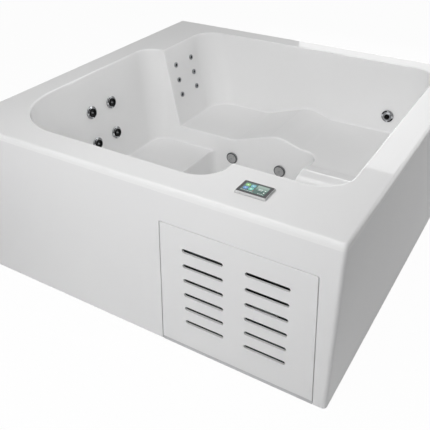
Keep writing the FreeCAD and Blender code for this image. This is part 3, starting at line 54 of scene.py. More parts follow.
def hexColour(text):
    # sRGB hex to linear, with full alpha
    parts = [int(text[i:i + 2], 16) / 255 for i in (1, 3, 5)]
    return [p / 12.92 if p <= 0.04045 else ((p + 0.055) / 1.055) ** 2.4 for p in parts] + [1.0]


def addNode(tree, kind, settings=None, inputs=None):
    # settings go on the node; an input is a value or a (node, output) link
    node = tree.nodes.new(kind)
    for name, value in (settings or {}).items():
        setattr(node, name, value)
    for name, value in (inputs or {}).items():
        if isinstance(value, tuple) and isinstance(value[0], bpy.types.Node):
            tree.links.new(value[0].outputs[value[1]], node.inputs[name])
        else:
            node.inputs[name].default_value = value
    return node


def perMetre(millimetres):
    # texture scale whose features are about this many millimetres across
    return 1000 / millimetres


def newMaterial(name):
    material = bpy.data.materials.new(name)
    material.use_nodes = True
    material.node_tree.nodes.clear()
    return material


def moulded(name, finish):
    # a moulded or coated surface: tone drifts between two colours, gloss wanders, the grain lifts a bump
    material = newMaterial(name)
    tree = material.node_tree
    place = addNode(tree, "ShaderNodeTexCoord")
    stretch = addNode(tree, "ShaderNodeMapping", inputs={
        "Vector": (place, "Object"), "Scale": finish.get("stretch", (1, 1, 1))})
    drift = addNode(tree, "ShaderNodeTexNoise", inputs={
        "Vector": (place, "Object"), "Scale": perMetre(finish["driftMm"]), "Detail": 2.0})
    tone = addNode(tree, "ShaderNodeMix", {"data_type": "RGBA"}, {
        "Factor": (drift, "Fac"), 6: hexColour(finish["light"]), 7: hexColour(finish["shade"])})
    grain = addNode(tree, "ShaderNodeTexNoise", inputs={
        "Vector": (stretch, "Vector"), "Scale": perMetre(finish["grainMm"]),
        "Detail": finish.get("detail", 3.0)})
    low, high = finish["gloss"]
    gloss = addNode(tree, "ShaderNodeMapRange", inputs={
        "Value": (grain, "Fac"), "To Min": low, "To Max": high})
    bump = addNode(tree, "ShaderNodeBump", inputs={
        "Height": (grain, "Fac"), "Strength": finish["relief"], "Distance": finish["reliefMm"] * mm})
    shader = addNode(tree, "ShaderNodeBsdfPrincipled", inputs={
        "Base Color": (tone, 2), "Roughness": (gloss, "Result"), "Normal": (bump, "Normal"),
        "Metallic": finish.get("metallic", 0.0), "IOR": finish.get("ior", 1.5)})
    for socket, value in finish.get("extra", {}).items():
        shader.inputs[socket].default_value = value
    if "satinBeyond" in finish:
        satinRim(tree, finish, place, gloss, shader)
    addNode(tree, "ShaderNodeOutputMaterial", inputs={"Surface": (shader, "BSDF")})
    return material


def satinRim(tree, finish, place, gloss, shader):
    # close to these distances from the middle, the gloss fades to a satin that mirrors less
    apart = addNode(tree, "ShaderNodeVectorMath", {"operation": "ABSOLUTE"}, {0: (place, "Object")})
    reach = addNode(tree, "ShaderNodeSeparateXYZ", inputs={"Vector": (apart, "Vector")})
    fadeStart, fadeEnd = finish["satinFadeMm"]
    sides = [addNode(tree, "ShaderNodeMapRange", inputs={
        "Value": (reach, axis), "From Min": limit - fadeStart * mm, "From Max": limit - fadeEnd * mm})
        for axis, limit in zip("XY", finish["satinBeyond"])]
    rim = addNode(tree, "ShaderNodeMath", {"operation": "MAXIMUM"}, {
        0: (sides[0], "Result"), 1: (sides[1], "Result")})
    satin = addNode(tree, "ShaderNodeMix", {"data_type": "FLOAT"}, {
        "Factor": (rim, "Value"), 2: (gloss, "Result"), 3: finish["satin"]})
    specular = shader.inputs["Specular IOR Level"]
    weaker = addNode(tree, "ShaderNodeMapRange", inputs={
        "Value": (rim, "Value"), "To Min": specular.default_value, "To Max": finish["satinSpecular"]})
    tree.links.new(satin.outputs[0], shader.inputs["Roughness"])
    tree.links.new(weaker.outputs["Result"], specular)


def beaded(name, finish):
    # expanded bead foam: packed cells with darker joints, each bead a shade of its own
    material = newMaterial(name)
    tree = material.node_tree
    place = addNode(tree, "ShaderNodeTexCoord")
    beads = addNode(tree, "ShaderNodeTexVoronoi", {"feature": "F1"}, {
        "Vector": (place, "Object"), "Scale": perMetre(finish["beadMm"])})
    joint = addNode(tree, "ShaderNodeTexVoronoi", {"feature": "DISTANCE_TO_EDGE"}, {
        "Vector": (place, "Object"), "Scale": perMetre(finish["beadMm"])})
    edge = addNode(tree, "ShaderNodeMapRange", inputs={
        "Value": (joint, "Distance"), "From Max": finish["jointShare"]})
    shade = addNode(tree, "ShaderNodeSeparateColor", inputs={"Color": (beads, "Color")})
    own = addNode(tree, "ShaderNodeMix", {"data_type": "RGBA"}, {
        "Factor": (shade, "Red"), 6: hexColour(finish["light"]), 7: hexColour(finish["shade"])})
    tone = addNode(tree, "ShaderNodeMix", {"data_type": "RGBA"}, {
        "Factor": (edge, "Result"), 6: hexColour(finish["joint"]), 7: (own, 2)})
    bump = addNode(tree, "ShaderNodeBump", inputs={
        "Height": (edge, "Result"), "Strength": finish["relief"], "Distance": finish["reliefMm"] * mm})
    shader = addNode(tree, "ShaderNodeBsdfPrincipled", inputs={
        "Base Color": (tone, 2), "Roughness": finish["gloss"], "Normal": (bump, "Normal"),
        "IOR": finish["ior"]})
    addNode(tree, "ShaderNodeOutputMaterial", inputs={"Surface": (shader, "BSDF")})
    return material


displayGlass = {"gloss": 0.12, "ior": 1.5, "pixelShow": 0.25}


def litScreen(name, finish):
    # a lit display behind glass: the colour runs from one side to the other and glows a little
    material = newMaterial(name)
    tree = material.node_tree
    place = addNode(tree, "ShaderNodeTexCoord")
    part = addNode(tree, "ShaderNodeSeparateXYZ", inputs={"Vector": (place, "Object")})
    low, high = finish["span"]
    share = addNode(tree, "ShaderNodeMapRange", inputs={
        "Value": (part, finish.get("along", "X")), "From Min": low, "From Max": high})
    pixels = addNode(tree, "ShaderNodeTexNoise", inputs={
        "Vector": (place, "Object"), "Scale": perMetre(finish["pixelMm"]), "Detail": 1.0})
    run = addNode(tree, "ShaderNodeMix", {"data_type": "RGBA"}, {
        "Factor": (share, "Result"), 6: hexColour(finish["start"]), 7: hexColour(finish["end"])})
    tone = addNode(tree, "ShaderNodeMix", {"data_type": "RGBA", "blend_type": "OVERLAY"}, {
        "Factor": displayGlass["pixelShow"], 6: (run, 2), 7: (pixels, "Color")})
    shader = addNode(tree, "ShaderNodeBsdfPrincipled", inputs={
        "Base Color": (tone, 2), "Roughness": displayGlass["gloss"], "IOR": displayGlass["ior"],
        "Emission Color": (tone, 2), "Emission Strength": finish["glow"]})
    addNode(tree, "ShaderNodeOutputMaterial", inputs={"Surface": (shader, "BSDF")})
    return material


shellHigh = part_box("tub_shell")[1]  # the shell is centred, so this is how far its rim reaches
# Cast acrylic sheet, vacuum formed: deep even gloss over a hardly drifting white, a long faint ripple; the
# trimmed outer rim is satin like the skirt below it
castAcrylic = moulded("castAcrylic", {
    "light": "#F2F2F2", "shade": "#EFEFEF", "driftMm": 420, "grainMm": 60, "detail": 1.0,
    "gloss": (0.02, 0.04), "relief": 0.015, "reliefMm": 2, "ior": 1.49, "satin": 0.4,
    "satinBeyond": shellHigh[:2], "satinFadeMm": (2.5, 0.3), "satinSpecular": 0.25})
# Acrylic-capped sheet, pressed flat: an even satin with a faint rolled-in ripple
cappedSheet = moulded("cappedSheet", {
    "light": "#EBEBEB", "shade": "#E7E7E8", "driftMm": 520, "grainMm": 22, "detail": 2.0,
    "gloss": (0.36, 0.46), "relief": 0.03, "reliefMm": 1.5, "ior": 1.49,
    "extra": {"Specular IOR Level": 0.25}})
# Chrome plate on moulded plastic: mirror bright, wiped smears change its gloss
chromePlate = moulded("chromePlate", {
    "light": "#E4E6E8", "shade": "#D6D9DC", "driftMm": 30, "grainMm": 3, "gloss": (0.04, 0.12),
    "relief": 0.02, "reliefMm": 0.2, "metallic": 1.0})
# Satin chrome, the same plate over a blasted mould: grey and soft
satinChrome = moulded("satinChrome", {
    "light": "#A2A4A6", "shade": "#8F9193", "driftMm": 12, "grainMm": 0.8, "gloss": (0.3, 0.42),
    "relief": 0.1, "reliefMm": 0.1, "metallic": 1.0})
# Black ABS, moulded with a light spark texture: deep black with hardly a highlight
blackAbs = moulded("blackAbs", {
    "light": "#0B0B0C", "shade": "#050506", "driftMm": 25, "grainMm": 0.9, "gloss": (0.34, 0.46),
    "relief": 0.15, "reliefMm": 0.1, "ior": 1.45, "extra": {"Specular IOR Level": 0.12}})
# Grey ABS of the suction covers and the control's foot: pale, satin from the mould; on the foot its grey is
# partly painted shade along the frame's lower edge
greyAbs = moulded("greyAbs", {
    "light": "#BCBCBC", "shade": "#B0B0B0", "driftMm": 20, "grainMm": 0.9, "gloss": (0.35, 0.5),
    "relief": 0.15, "reliefMm": 0.1, "ior": 1.53})
# Mid grey ABS on the control's ribs, and as the painted lit tone in two of each bezel's grooves: a dull step
# down from the chrome
grooveAbs = moulded("grooveAbs", {
    "light": "#8A8A8B", "shade": "#7E7E80", "driftMm": 15, "grainMm": 0.9, "gloss": (0.3, 0.45),
    "relief": 0.12, "reliefMm": 0.1, "ior": 1.53})
# Dark grey ABS of the covers' rim: outlines each cover against the white
rimAbs = moulded("rimAbs", {
    "light": "#4B4D50", "shade": "#424447", "driftMm": 20, "grainMm": 0.9, "gloss": (0.3, 0.45),
    "relief": 0.15, "reliefMm": 0.1, "ior": 1.53})
# Stainless steel tube, screws and studs, brushed along the tube: long scratches spread the highlight
brushedStainless = moulded("brushedStainless", {
    "light": "#B9BABB", "shade": "#A6A8AA", "driftMm": 60, "grainMm": 1.6, "stretch": (0.04, 1, 1),
    "gloss": (0.2, 0.38), "relief": 0.12, "reliefMm": 0.1, "metallic": 1.0})
# Grey PVC pressure pipe, extruded: dull satin with a faint waviness
extrudedPvc = moulded("extrudedPvc", {
    "light": "#4C5154", "shade": "#43474A", "driftMm": 90, "grainMm": 5, "gloss": (0.3, 0.42),
    "relief": 0.08, "reliefMm": 0.3, "ior": 1.53})
# Moulded PVC fittings: a little darker and duller than the pipe
mouldedPvc = moulded("mouldedPvc", {
    "light": "#43474A", "shade": "#393D40", "driftMm": 40, "grainMm": 2, "gloss": (0.38, 0.5),
    "relief": 0.12, "reliefMm": 0.2, "ior": 1.53})
# EPDM rubber of gaskets and pump feet: dull, dusty black
epdmRubber = moulded("epdmRubber", {
    "light": "#232324", "shade": "#19191A", "driftMm": 25, "grainMm": 1.2, "gloss": (0.62, 0.8),
    "relief": 0.3, "reliefMm": 0.2, "ior": 1.52})
# Powder coat on the motor's cast frame: orange peel in a dark blue grey
powderCoat = moulded("powderCoat", {
    "light": "#3A4148", "shade": "#2F353B", "driftMm": 60, "grainMm": 2.2, "gloss": (0.34, 0.46),
    "relief": 0.35, "reliefMm": 0.25, "ior": 1.5})
# Glass-filled nylon of pump, filter and control box: black with greyish swirl and a grainy skin
filledNylon = moulded("filledNylon", {
    "light": "#2B2C2E", "shade": "#1E1F20", "driftMm": 70, "grainMm": 1.4, "gloss": (0.42, 0.58),
    "relief": 0.3, "reliefMm": 0.2, "ior": 1.53})
# Spunbond polyester of the filter pleats: matt fibre, stretched up the pleats
spunbondPleats = moulded("spunbondPleats", {
    "light": "#E3E8EE", "shade": "#D3DAE3", "driftMm": 50, "grainMm": 2.5, "detail": 6.0,
    "stretch": (1, 1, 0.2), "gloss": (0.8, 0.95), "relief": 0.4, "reliefMm": 0.3,
    "extra": {"Sheen Weight": 0.3}})
# Red vinyl dip on the drain lever: thick, smooth and a bit uneven
vinylDip = moulded("vinylDip", {
    "light": "#B4221C", "shade": "#9E1B17", "driftMm": 20, "grainMm": 6, "gloss": (0.22, 0.32),
    "relief": 0.2, "reliefMm": 0.4, "ior": 1.52})
# Rotomoulded polyethylene of the tray and ledge: speckled pale grey, waxy
rotoPolyethylene = moulded("rotoPolyethylene", {
    "light": "#C9CACB", "shade": "#BFC0C2", "driftMm": 12, "grainMm": 3, "gloss": (0.4, 0.55),
    "relief": 0.2, "reliefMm": 0.4, "ior": 1.51})
# Silver-painted polycarbonate of the control's frame under a clear coat: half metal, wet looking
silverFrame = moulded("silverFrame", {
    "light": "#D2D2D2", "shade": "#C8C8C8", "driftMm": 18, "grainMm": 1.0, "gloss": (0.12, 0.2),
    "relief": 0.05, "reliefMm": 0.1, "metallic": 0.35,
    "extra": {"Coat Weight": 0.6, "Coat Roughness": 0.05}})
# Back-printed cover glass: smoky black and mirror smooth
printedGlass = moulded("printedGlass", {
    "light": "#403F42", "shade": "#3A393C", "driftMm": 60, "grainMm": 20, "gloss": (0.03, 0.06),
    "relief": 0.01, "reliefMm": 0.1, "ior": 1.52})
# Expanded polypropylene foam: charcoal beads fused in a mould
beadFoam = beaded("beadFoam", {
    "light": "#3B3C3E", "shade": "#2E2F31", "joint": "#202122", "beadMm": 5, "jointShare": 0.12,
    "gloss": 0.75, "relief": 0.5, "reliefMm": 0.5, "ior": 1.5})
print("materials made")

# which finish each CAD node keeps, by the start of its name
finishes = {
    castAcrylic: ["tub_shell"],
    cappedSheet: ["skirt", "access_panel"],
    rotoPolyethylene: ["base_tray", "panel_ledge"],
    chromePlate: ["bench_jet_bezel_", "foot_jet_bezel"],
    satinChrome: ["back_jet_rings"],
    blackAbs: ["bench_jet_nozzle_", "foot_jet_nozzle", "back_jet_nozzle_"],
    greyAbs: ["suction_covers"],
    brushedStainless: ["suction_screws", "panel_studs", "heater_tube"],
    extrudedPvc: ["suction_line", "outlet_pipe", "foot_jet_pipe", "supply_main", "bench_jet_manifold",
                  "lounger_jet_manifold"],
    mouldedPvc: ["jet_bodies", "jet_nuts", "suction_bodies", "back_jet_bodies", "union_nuts",
                 "drain_valve"],
    epdmRubber: ["jet_gaskets", "pump_feet"],
    powderCoat: ["pump_motor"],
    filledNylon: ["pump_wet_end", "filter_canister", "filter_lid", "control_box"],
    spunbondPleats: ["filter_cartridge"],
    vinylDip: ["drain_lever"],
    silverFrame: ["control_base"],
    printedGlass: ["control_glass"],
    beadFoam: ["foam_"],
}
for finish, starts in finishes.items():
    for name, node in nodes.items():
        if any(name.startswith(start) for start in starts):
            node.data.materials.clear()
            node.data.materials.append(finish)
print("CAD nodes finished")


def addPiece(name, shape, materials, body, replaced=()):
    # a finished mesh at the origin that rides on a body
    bmesh.ops.remove_doubles(shape, verts=shape.verts, dist=1e-6)
    bmesh.ops.recalc_face_normals(shape, faces=shape.faces)
    data = bpy.data.meshes.new(name)
    shape.to_mesh(data)
    shape.free()
    for material in materials:
        data.materials.append(material)
    piece = bpy.data.objects.new(name, data)
    bpy.context.scene.collection.objects.link(piece)
    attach(piece, body)
    if replaced:
        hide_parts(*replaced)


def turnRound(shape, profile, steps, angle=math.tau):
    # spins a closed profile of (radius, height) in millimetres about Z
    corners = [shape.verts.new((radius * mm, 0, height * mm)) for radius, height in profile]
    sides = [shape.edges.new((corners[i - 1], corners[i])) for i in range(len(corners))]
    turned = corners + sides
    if angle < math.tau:
        turned += bmesh.ops.contextual_create(shape, geom=sides)["faces"]
    bmesh.ops.spin(shape, geom=turned, axis=(0, 0, 1), angle=angle, steps=steps, use_merge=angle == math.tau)


def wallMatrix(place, axis):
    # stands a piece on a wall: Z along the axis, X down the wall
    outward = Vector(axis).normalized()
    across = Vector((0, 0, 1)).cross(outward).normalized()
    down = across.cross(outward)
    turn = Matrix((down, across, outward)).transposed().to_4x4()
    return Matrix.Translation(Vector(place)) @ turn


def softPlate(shape, outline, foot, top, corner, edge, slotIndex=0):
    # a plate between two levels with round corners and a softened upper edge, all in metres
    before = set(shape.faces)
    left, right, front, back = outline
    corners = bmesh.ops.create_grid(shape, x_segments=1, y_segments=1, size=0.5)["verts"]
    bmesh.ops.scale(shape, verts=corners, vec=(right - left, back - front, 1))
    bmesh.ops.translate(shape, verts=corners, vec=((left + right) / 2, (front + back) / 2, foot))
    bmesh.ops.bevel(shape, geom=corners, offset=corner, segments=6, profile=0.5, affect="VERTICES",
                    material=-1)
    under = [face for face in shape.faces if face not in before]
    grown = bmesh.ops.extrude_face_region(shape, geom=under)["geom"]
    raised = [part for part in grown if isinstance(part, bmesh.types.BMVert)]
    bmesh.ops.translate(shape, verts=raised, vec=(0, 0, top - foot))
    upper = [part for part in grown if isinstance(part, bmesh.types.BMEdge)]
    bmesh.ops.bevel(shape, geom=upper, offset=edge, segments=2, profile=0.5, affect="EDGES", material=-1)
    for face in shape.faces:
        if face not in before:
            face.material_index = slotIndex


# large jets, in millimetres: a stepped chrome bezel with four finger grooves of one finish, two painted
# black as shade and two painted grey as lit; each Round or Edge is how far an edge is softened
jetLook = {
    "steps": 96, "outer": 38, "mouth": 25.2, "foot": 4.3, "top": 9.3, "lip": 7.2, "throatRise": 0.5,
    "grooveInner": 28, "grooveOuter": 36, "grooveFloor": 6.3, "grooveEdge": 0.35, "lipEdge": 0.2,
    "mouthRound": ((0, -0.9), (0.25, -0.35), (0.8, 0)),
    "outerRound": ((-0.8, -0.1), (-0.2, -0.6), (0, -1.2)),
    "sleeve": 30.2, "sleeveInner": 29.4, "sleeveEnd": -28.5, "sleeveTop": 0.6, "throatBack": (2.8, 1)}
near = 0.1  # a face this many millimetres from a named size still counts as on it
# a chrome bridge between two grooves, sunk a little into its neighbours
bridgeLook = {"degrees": 22, "steps": 10, "sunk": 0.2, "drop": 0.1, "ease": 0.4}


def addBridge(shape, quarter):
    look = bridgeLook
    inner, rim, floor = jetLook["grooveInner"], jetLook["grooveOuter"], jetLook["grooveFloor"]
    top, lip = jetLook["top"], jetLook["lip"]
    sunk, drop, ease = look["sunk"], look["drop"], look["ease"]
    bridge = bmesh.new()
    profile = [(inner - sunk, floor - sunk), (rim + sunk, floor - sunk), (rim + sunk, lip - drop),
               (rim - ease, lip), (inner + ease, top - sunk), (inner - sunk, top - drop)]
    turnRound(bridge, profile, look["steps"], math.radians(look["degrees"]))
    turn = Matrix.Rotation(math.radians(90 * quarter - look["degrees"] / 2), 4, "Z")
    bmesh.ops.transform(bridge, matrix=turn, verts=bridge.verts)
    bmesh.ops.recalc_face_normals(bridge, faces=bridge.faces)
    held = bpy.data.meshes.new("bridge")
    bridge.to_mesh(held)
    bridge.free()
    shape.from_mesh(held)
    bpy.data.meshes.remove(held)


def jetBezel(name, joint, node, greyLip=False):
    look = jetLook
    paints = [chromePlate, blackAbs, grooveAbs, satinChrome]
    shape = bmesh.new()
    mouth, outer, top, foot = look["mouth"], look["outer"], look["top"], look["foot"]
    inner, rim, floor, lip = look["grooveInner"], look["grooveOuter"], look["grooveFloor"], look["lip"]
    edge, lipEdge = look["grooveEdge"], look["lipEdge"]
    sleeve, sleeveInner, sleeveEnd = look["sleeve"], look["sleeveInner"], look["sleeveEnd"]
    backOut, backUp = look["throatBack"]
    profile = [(mouth, floor + look["throatRise"])]
    profile += [(mouth + out, top + up) for out, up in look["mouthRound"]]
    profile += [(inner - edge, top), (inner, top - edge), (inner, floor), (rim, floor), (rim, lip - lipEdge),
                (rim + lipEdge, lip)]
    profile += [(outer + out, lip + up) for out, up in look["outerRound"]]
    profile += [(outer, foot), (sleeve, foot), (sleeve, sleeveEnd), (sleeveInner, sleeveEnd),
                (sleeveInner, foot + look["sleeveTop"]), (mouth + backOut, foot + backUp)]
    turnRound(shape, profile, look["steps"])
    for face in shape.faces:
        middle = face.calc_center_median() / mm
        across = middle.xy.length
        # grooves on opposite quarters are painted black as painted shade, the other two mid grey as painted
        # light
        if inner - near < across < rim + near and floor - near < middle.z < top - edge:
            face.material_index = paints.index(blackAbs if middle.x * middle.y > 0 else grooveAbs)
        elif greyLip and across > rim + near:
            face.material_index = paints.index(satinChrome)
    for quarter in range(4):
        addBridge(shape, quarter)
    for face in shape.faces:
        face.smooth = True
    bmesh.ops.transform(shape, matrix=wallMatrix(joint["pos_m"], joint["axis"]), verts=shape.verts)
    addPiece(name, shape, paints, node, [node])


# eyeballs: the bench's have a black flange round a bright tip, the foot jet's is grey with a black mouth
eyeLook = {
    "ball": 28.5, "ballDrop": 7, "ballSteps": 14, "well": 6.5, "wellEdge": (1.2, 0.4), "tip": 4.4,
    "tipEdge": 0.5, "holeEdge": 0.4, "mouthEdge": ((0.7, 0), (0.1, -0.5)),
    "flangeFoot": ((-0.4, 1.2), (0, 1.6)), "flangeRound": ((0, -0.8), (-0.3, -0.2), (-0.9, 0))}
benchEye = {"neck": 20.5, "neckTop": 14, "flange": 24.5, "face": 19, "hollow": 20, "tipTop": 14.5,
            "hole": 1.8}
footEye = {"neck": 16.8, "face": 16, "hollow": 15.4, "tipTop": 10.5, "hole": 2.4}


def jetNozzle(name, joint, node, eye):
    look = eyeLook
    paints = [blackAbs, satinChrome]
    shape = bmesh.new()
    ball, centre, well, tip = look["ball"], -look["ballDrop"], look["well"], look["tip"]
    neck, face, hollow, tipTop, hole = [eye[size] for size in ("neck", "face", "hollow", "tipTop", "hole")]
    wellOut, wellUp = look["wellEdge"]
    tipEdge, holeEdge = look["tipEdge"], look["holeEdge"]
    lift = math.acos(neck / ball)
    curve = [-lift + 2 * lift * step / look["ballSteps"] for step in range(look["ballSteps"] + 1)]
    profile = [(ball * math.cos(angle), centre + ball * math.sin(angle)) for angle in curve]
    if "flange" in eye:
        profile.append((neck, eye["neckTop"]))
        profile += [(eye["flange"] + out, eye["neckTop"] + up) for out, up in look["flangeFoot"]]
        profile += [(eye["flange"] + out, face + up) for out, up in look["flangeRound"]]
    mouth = [(hollow + out, face + up) for out, up in look["mouthEdge"]]
    profile += mouth
    profile += [(tip + wellOut, well + wellUp), (tip, well), (tip, tipTop - tipEdge),
                (tip - tipEdge, tipTop), (hole + holeEdge, tipTop), (hole, tipTop - holeEdge),
                (hole, centre - ball * math.sin(lift))]
    turnRound(shape, profile, jetLook["steps"])
    for part in shape.faces:
        part.smooth = True
        middle = part.calc_center_median() / mm
        across = middle.xy.length
        if "flange" in eye:
            bright = hole - near < across < tip + near and middle.z > well + near
        else:
            bright = across > hollow and middle.z < mouth[-1][1]  # below the mouth's softened edge
        part.material_index = paints.index(satinChrome if bright else blackAbs)
    bmesh.ops.transform(shape, matrix=wallMatrix(joint["pos_m"], joint["axis"]), verts=shape.verts)
    addPiece(name, shape, paints, node, [node])


for number in (1, 2, 3, 4):
    turn = joints[f"bench_jet_turn_{number}"]
    jetBezel(f"benchJetBezel{number}", turn, f"bench_jet_bezel_{number}")
    jetNozzle(f"benchJetNozzle{number}", turn, f"bench_jet_nozzle_{number}", benchEye)
jetBezel("footJetBezel", joints["foot_jet_turn"], "foot_jet_bezel", greyLip=True)
jetNozzle("footJetNozzle", joints["foot_jet_turn"], "foot_jet_nozzle", footEye)
print("large jets made")

# suction covers: a snap rim round each dome, dark on top and grey down its side
suctionLook = {
    "steps": 72, "axis": (0, -1, 0), "wallBehind": 4.5, "outer": 38.4, "inner": 30.8, "foot": 4.6,
    "shoulder": 9, "domeRise": 0.474, "thick": 0.7, "sideThick": 0.4, "shoulderEdge": 0.6,
    "innerEdge": (0.5, 0.3)}


def suctionRim(name, place):
    look = suctionLook
    paints = [rimAbs, greyAbs]
    shape = bmesh.new()
    outer, inner, foot, shoulder = look["outer"], look["inner"], look["foot"], look["shoulder"]
    thick, sideThick = look["thick"], look["sideThick"]
    edgeOut, edgeDown = look["innerEdge"]
    crown = shoulder + (outer - inner) * look["domeRise"]
    turnRound(shape, [
        (outer - sideThick, foot), (outer, foot), (outer, shoulder),
        (outer - look["shoulderEdge"], shoulder + thick), (inner + edgeOut, crown + thick),
        (inner, crown + thick - edgeDown), (inner, crown), (outer - sideThick, shoulder)], look["steps"])
    for face in shape.faces:
        face.smooth = True
        if face.calc_center_median().z < shoulder * mm:
            face.material_index = paints.index(greyAbs)
    bmesh.ops.transform(shape, matrix=wallMatrix(place, look["axis"]), verts=shape.verts)
    addPiece(name, shape, paints, "tub")


coverLow, coverHigh = [Vector(corner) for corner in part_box("suction_covers")]
coverRadius = (coverHigh.z - coverLow.z) / 2
for number, x in enumerate((coverLow.x + coverRadius, coverHigh.x - coverRadius), 1):
    wall = coverHigh.y + suctionLook["wallBehind"] * mm
    suctionRim(f"suctionRim{number}", (x, wall, (coverLow.z + coverHigh.z) / 2))
print("suction rims made")

# control panel: cover glass with a lit screen, on a silver frame with ribs and a grey foot whose grey is
# partly painted shade
glassLow, glassHigh = [Vector(corner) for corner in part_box("control_glass")]
frameLow, frameHigh = [Vector(corner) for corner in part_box("control_base")]
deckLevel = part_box("tub_shell")[1][2]
glassLook = {"corner": 3, "edge": 0.6}


def controlGlass():
    shape = bmesh.new()
    outline = (glassLow.x, glassHigh.x, glassLow.y, glassHigh.y)
    softPlate(shape, outline, glassLow.z, glassHigh.z, glassLook["corner"] * mm, glassLook["edge"] * mm)
    addPiece("controlGlass", shape, [printedGlass], "tub", ["control_glass"])


# a mark is its middle from the glass's front left corner, then its width and depth; a row is its first mark,
# the pitch and the count
screenLook = {
    "margin": (12, 9.5), "lift": 0.15, "corner": 2, "edge": 0.05, "markLift": 0.12, "markEdge": 0.04,
    "tileMiddles": ((27, 56), (51, 56), (27.5, 33), (51, 33)), "tileSize": 20, "tileCorner": 7,
    "tileBar": (7, 2), "crossedTiles": (0, 3), "panel": (91.5, 55, 50, 34), "panelCorner": 2,
    "panelFade": (38, 20), "digits": (("3", 82), ("8", 93)), "digitLevel": 43, "digitSize": (6, 10),
    "barWide": 1.4, "signs": ((109, 44, 5, 5), (109, 29, 4, 7), (99.5, 49, 2.4, 2.4)), "inkCorner": 0.5,
    "rows": (((17, 15, 3.2, 1.8), 5.4, 10), ((90, 15.5, 3, 2.4), 5, 5)),
    "dot": (63.5, 24, 3.4, 3.4), "dotCorner": 1.4}
# Backlit liquid crystal under glass: each paint runs a little in colour and glows softly
tileColours = {
    "tileGreen": ("#7CC86A", "#93CF84"), "tileSky": ("#62B4C8", "#82C4D2"),
    "tileBlue": ("#5890CC", "#78A8D8"), "tileTeal": ("#6CC8B4", "#86CFC0")}
tilePaints = [litScreen(name, {
    "start": start, "end": end, "span": (glassLow.y, glassHigh.y), "along": "Y", "pixelMm": 2, "glow": 0.15})
    for name, (start, end) in tileColours.items()]
screenGlow = litScreen("screenGlow", {
    "start": "#5A7672", "end": "#4C6E64", "span": (glassLow.x, glassHigh.x), "pixelMm": 3, "glow": 0.08})
fadeFront, fadeBack = screenLook["panelFade"]  # in from the glass's front and back edges
panelGlow = litScreen("panelGlow", {
    "start": "#5C8678", "end": "#A4B8AE", "span": (glassLow.y + fadeFront * mm, glassHigh.y - fadeBack * mm),
    "along": "Y", "pixelMm": 3, "glow": 0.1})
whiteInk = litScreen("whiteInk", {
    "start": "#E8F0EE", "end": "#F4F8F7", "span": (glassLow.x, glassHigh.x), "pixelMm": 3, "glow": 0.3})
redInk = litScreen("redInk", {
    "start": "#C8503C", "end": "#D05C46", "span": (glassLow.x, glassHigh.x), "pixelMm": 3, "glow": 0.2})
litBars = {"3": "abcdg", "8": "abcdefg"}  # of a seven-bar digit


def onGlass(x, y, wide, deep):
    # left, right, front and back of a mark, in metres
    middle = glassLow.xy + Vector((x, y)) * mm
    halfWide, halfDeep = wide * mm / 2, deep * mm / 2
    return middle.x - halfWide, middle.x + halfWide, middle.y - halfDeep, middle.y + halfDeep


def digitBars(text, x):
    y, bar = screenLook["digitLevel"], screenLook["barWide"]
    wide, tall = screenLook["digitSize"]
    half = tall / 2
    left, right, upper, lower = x - wide / 2, x + wide / 2, y + half / 2, y - half / 2
    places = {"a": (x, y + half, wide, bar), "g": (x, y, wide, bar), "d": (x, y - half, wide, bar),
              "f": (left, upper, bar, half), "b": (right, upper, bar, half),
              "e": (left, lower, bar, half), "c": (right, lower, bar, half)}
    return [places[lit] for lit in litBars[text]]


def controlScreen():
    look = screenLook
    shape = bmesh.new()
    wide, deep = (glassHigh.xy - glassLow.xy) / mm
    marginX, marginY = look["margin"]
    lift, edge = look["markLift"] * mm, look["markEdge"] * mm
    screenTop = glassHigh.z + look["lift"] * mm
    inkTop = screenTop + lift
    screen = onGlass(wide / 2, deep / 2, wide - 2 * marginX, deep - 2 * marginY)
    softPlate(shape, screen, glassHigh.z, screenTop, look["corner"] * mm, look["edge"] * mm)
    paints = [screenGlow, *tilePaints, panelGlow, whiteInk, redInk]
    softPlate(shape, onGlass(*look["panel"]), screenTop, inkTop, look["panelCorner"] * mm, edge,
              paints.index(panelGlow))
    inks = [bar for text, x in look["digits"] for bar in digitBars(text, x)] + list(look["signs"])
    barLong, barShort = look["tileBar"]
    for index, (x, y) in enumerate(look["tileMiddles"]):
        tile = onGlass(x, y, look["tileSize"], look["tileSize"])
        tilePaint = paints.index(tilePaints[index])
        softPlate(shape, tile, screenTop, inkTop, look["tileCorner"] * mm, edge, tilePaint)
        inks.append((x, y, barLong, barShort))
        if index in look["crossedTiles"]:
            inks.append((x, y, barShort, barLong))
    for (x, y, across, along), pitch, count in look["rows"]:
        inks += [(x + pitch * step, y, across, along) for step in range(count)]
    for ink in inks:
        softPlate(shape, onGlass(*ink), inkTop, inkTop + lift, look["inkCorner"] * mm, edge,
                  paints.index(whiteInk))
    softPlate(shape, onGlass(*look["dot"]), screenTop, inkTop, look["dotCorner"] * mm, edge,
              paints.index(redInk))
    addPiece("controlScreen", shape, paints, "tub")


# ribs along the frame's right side, which leans in from foot to top
ribLook = {"count": 17, "wide": 1.4, "proud": 0.7, "sunk": 1.0, "margin": 7, "footLift": 0.5, "topDrop": 0.8,
           "lean": 3, "edge": 0.3}


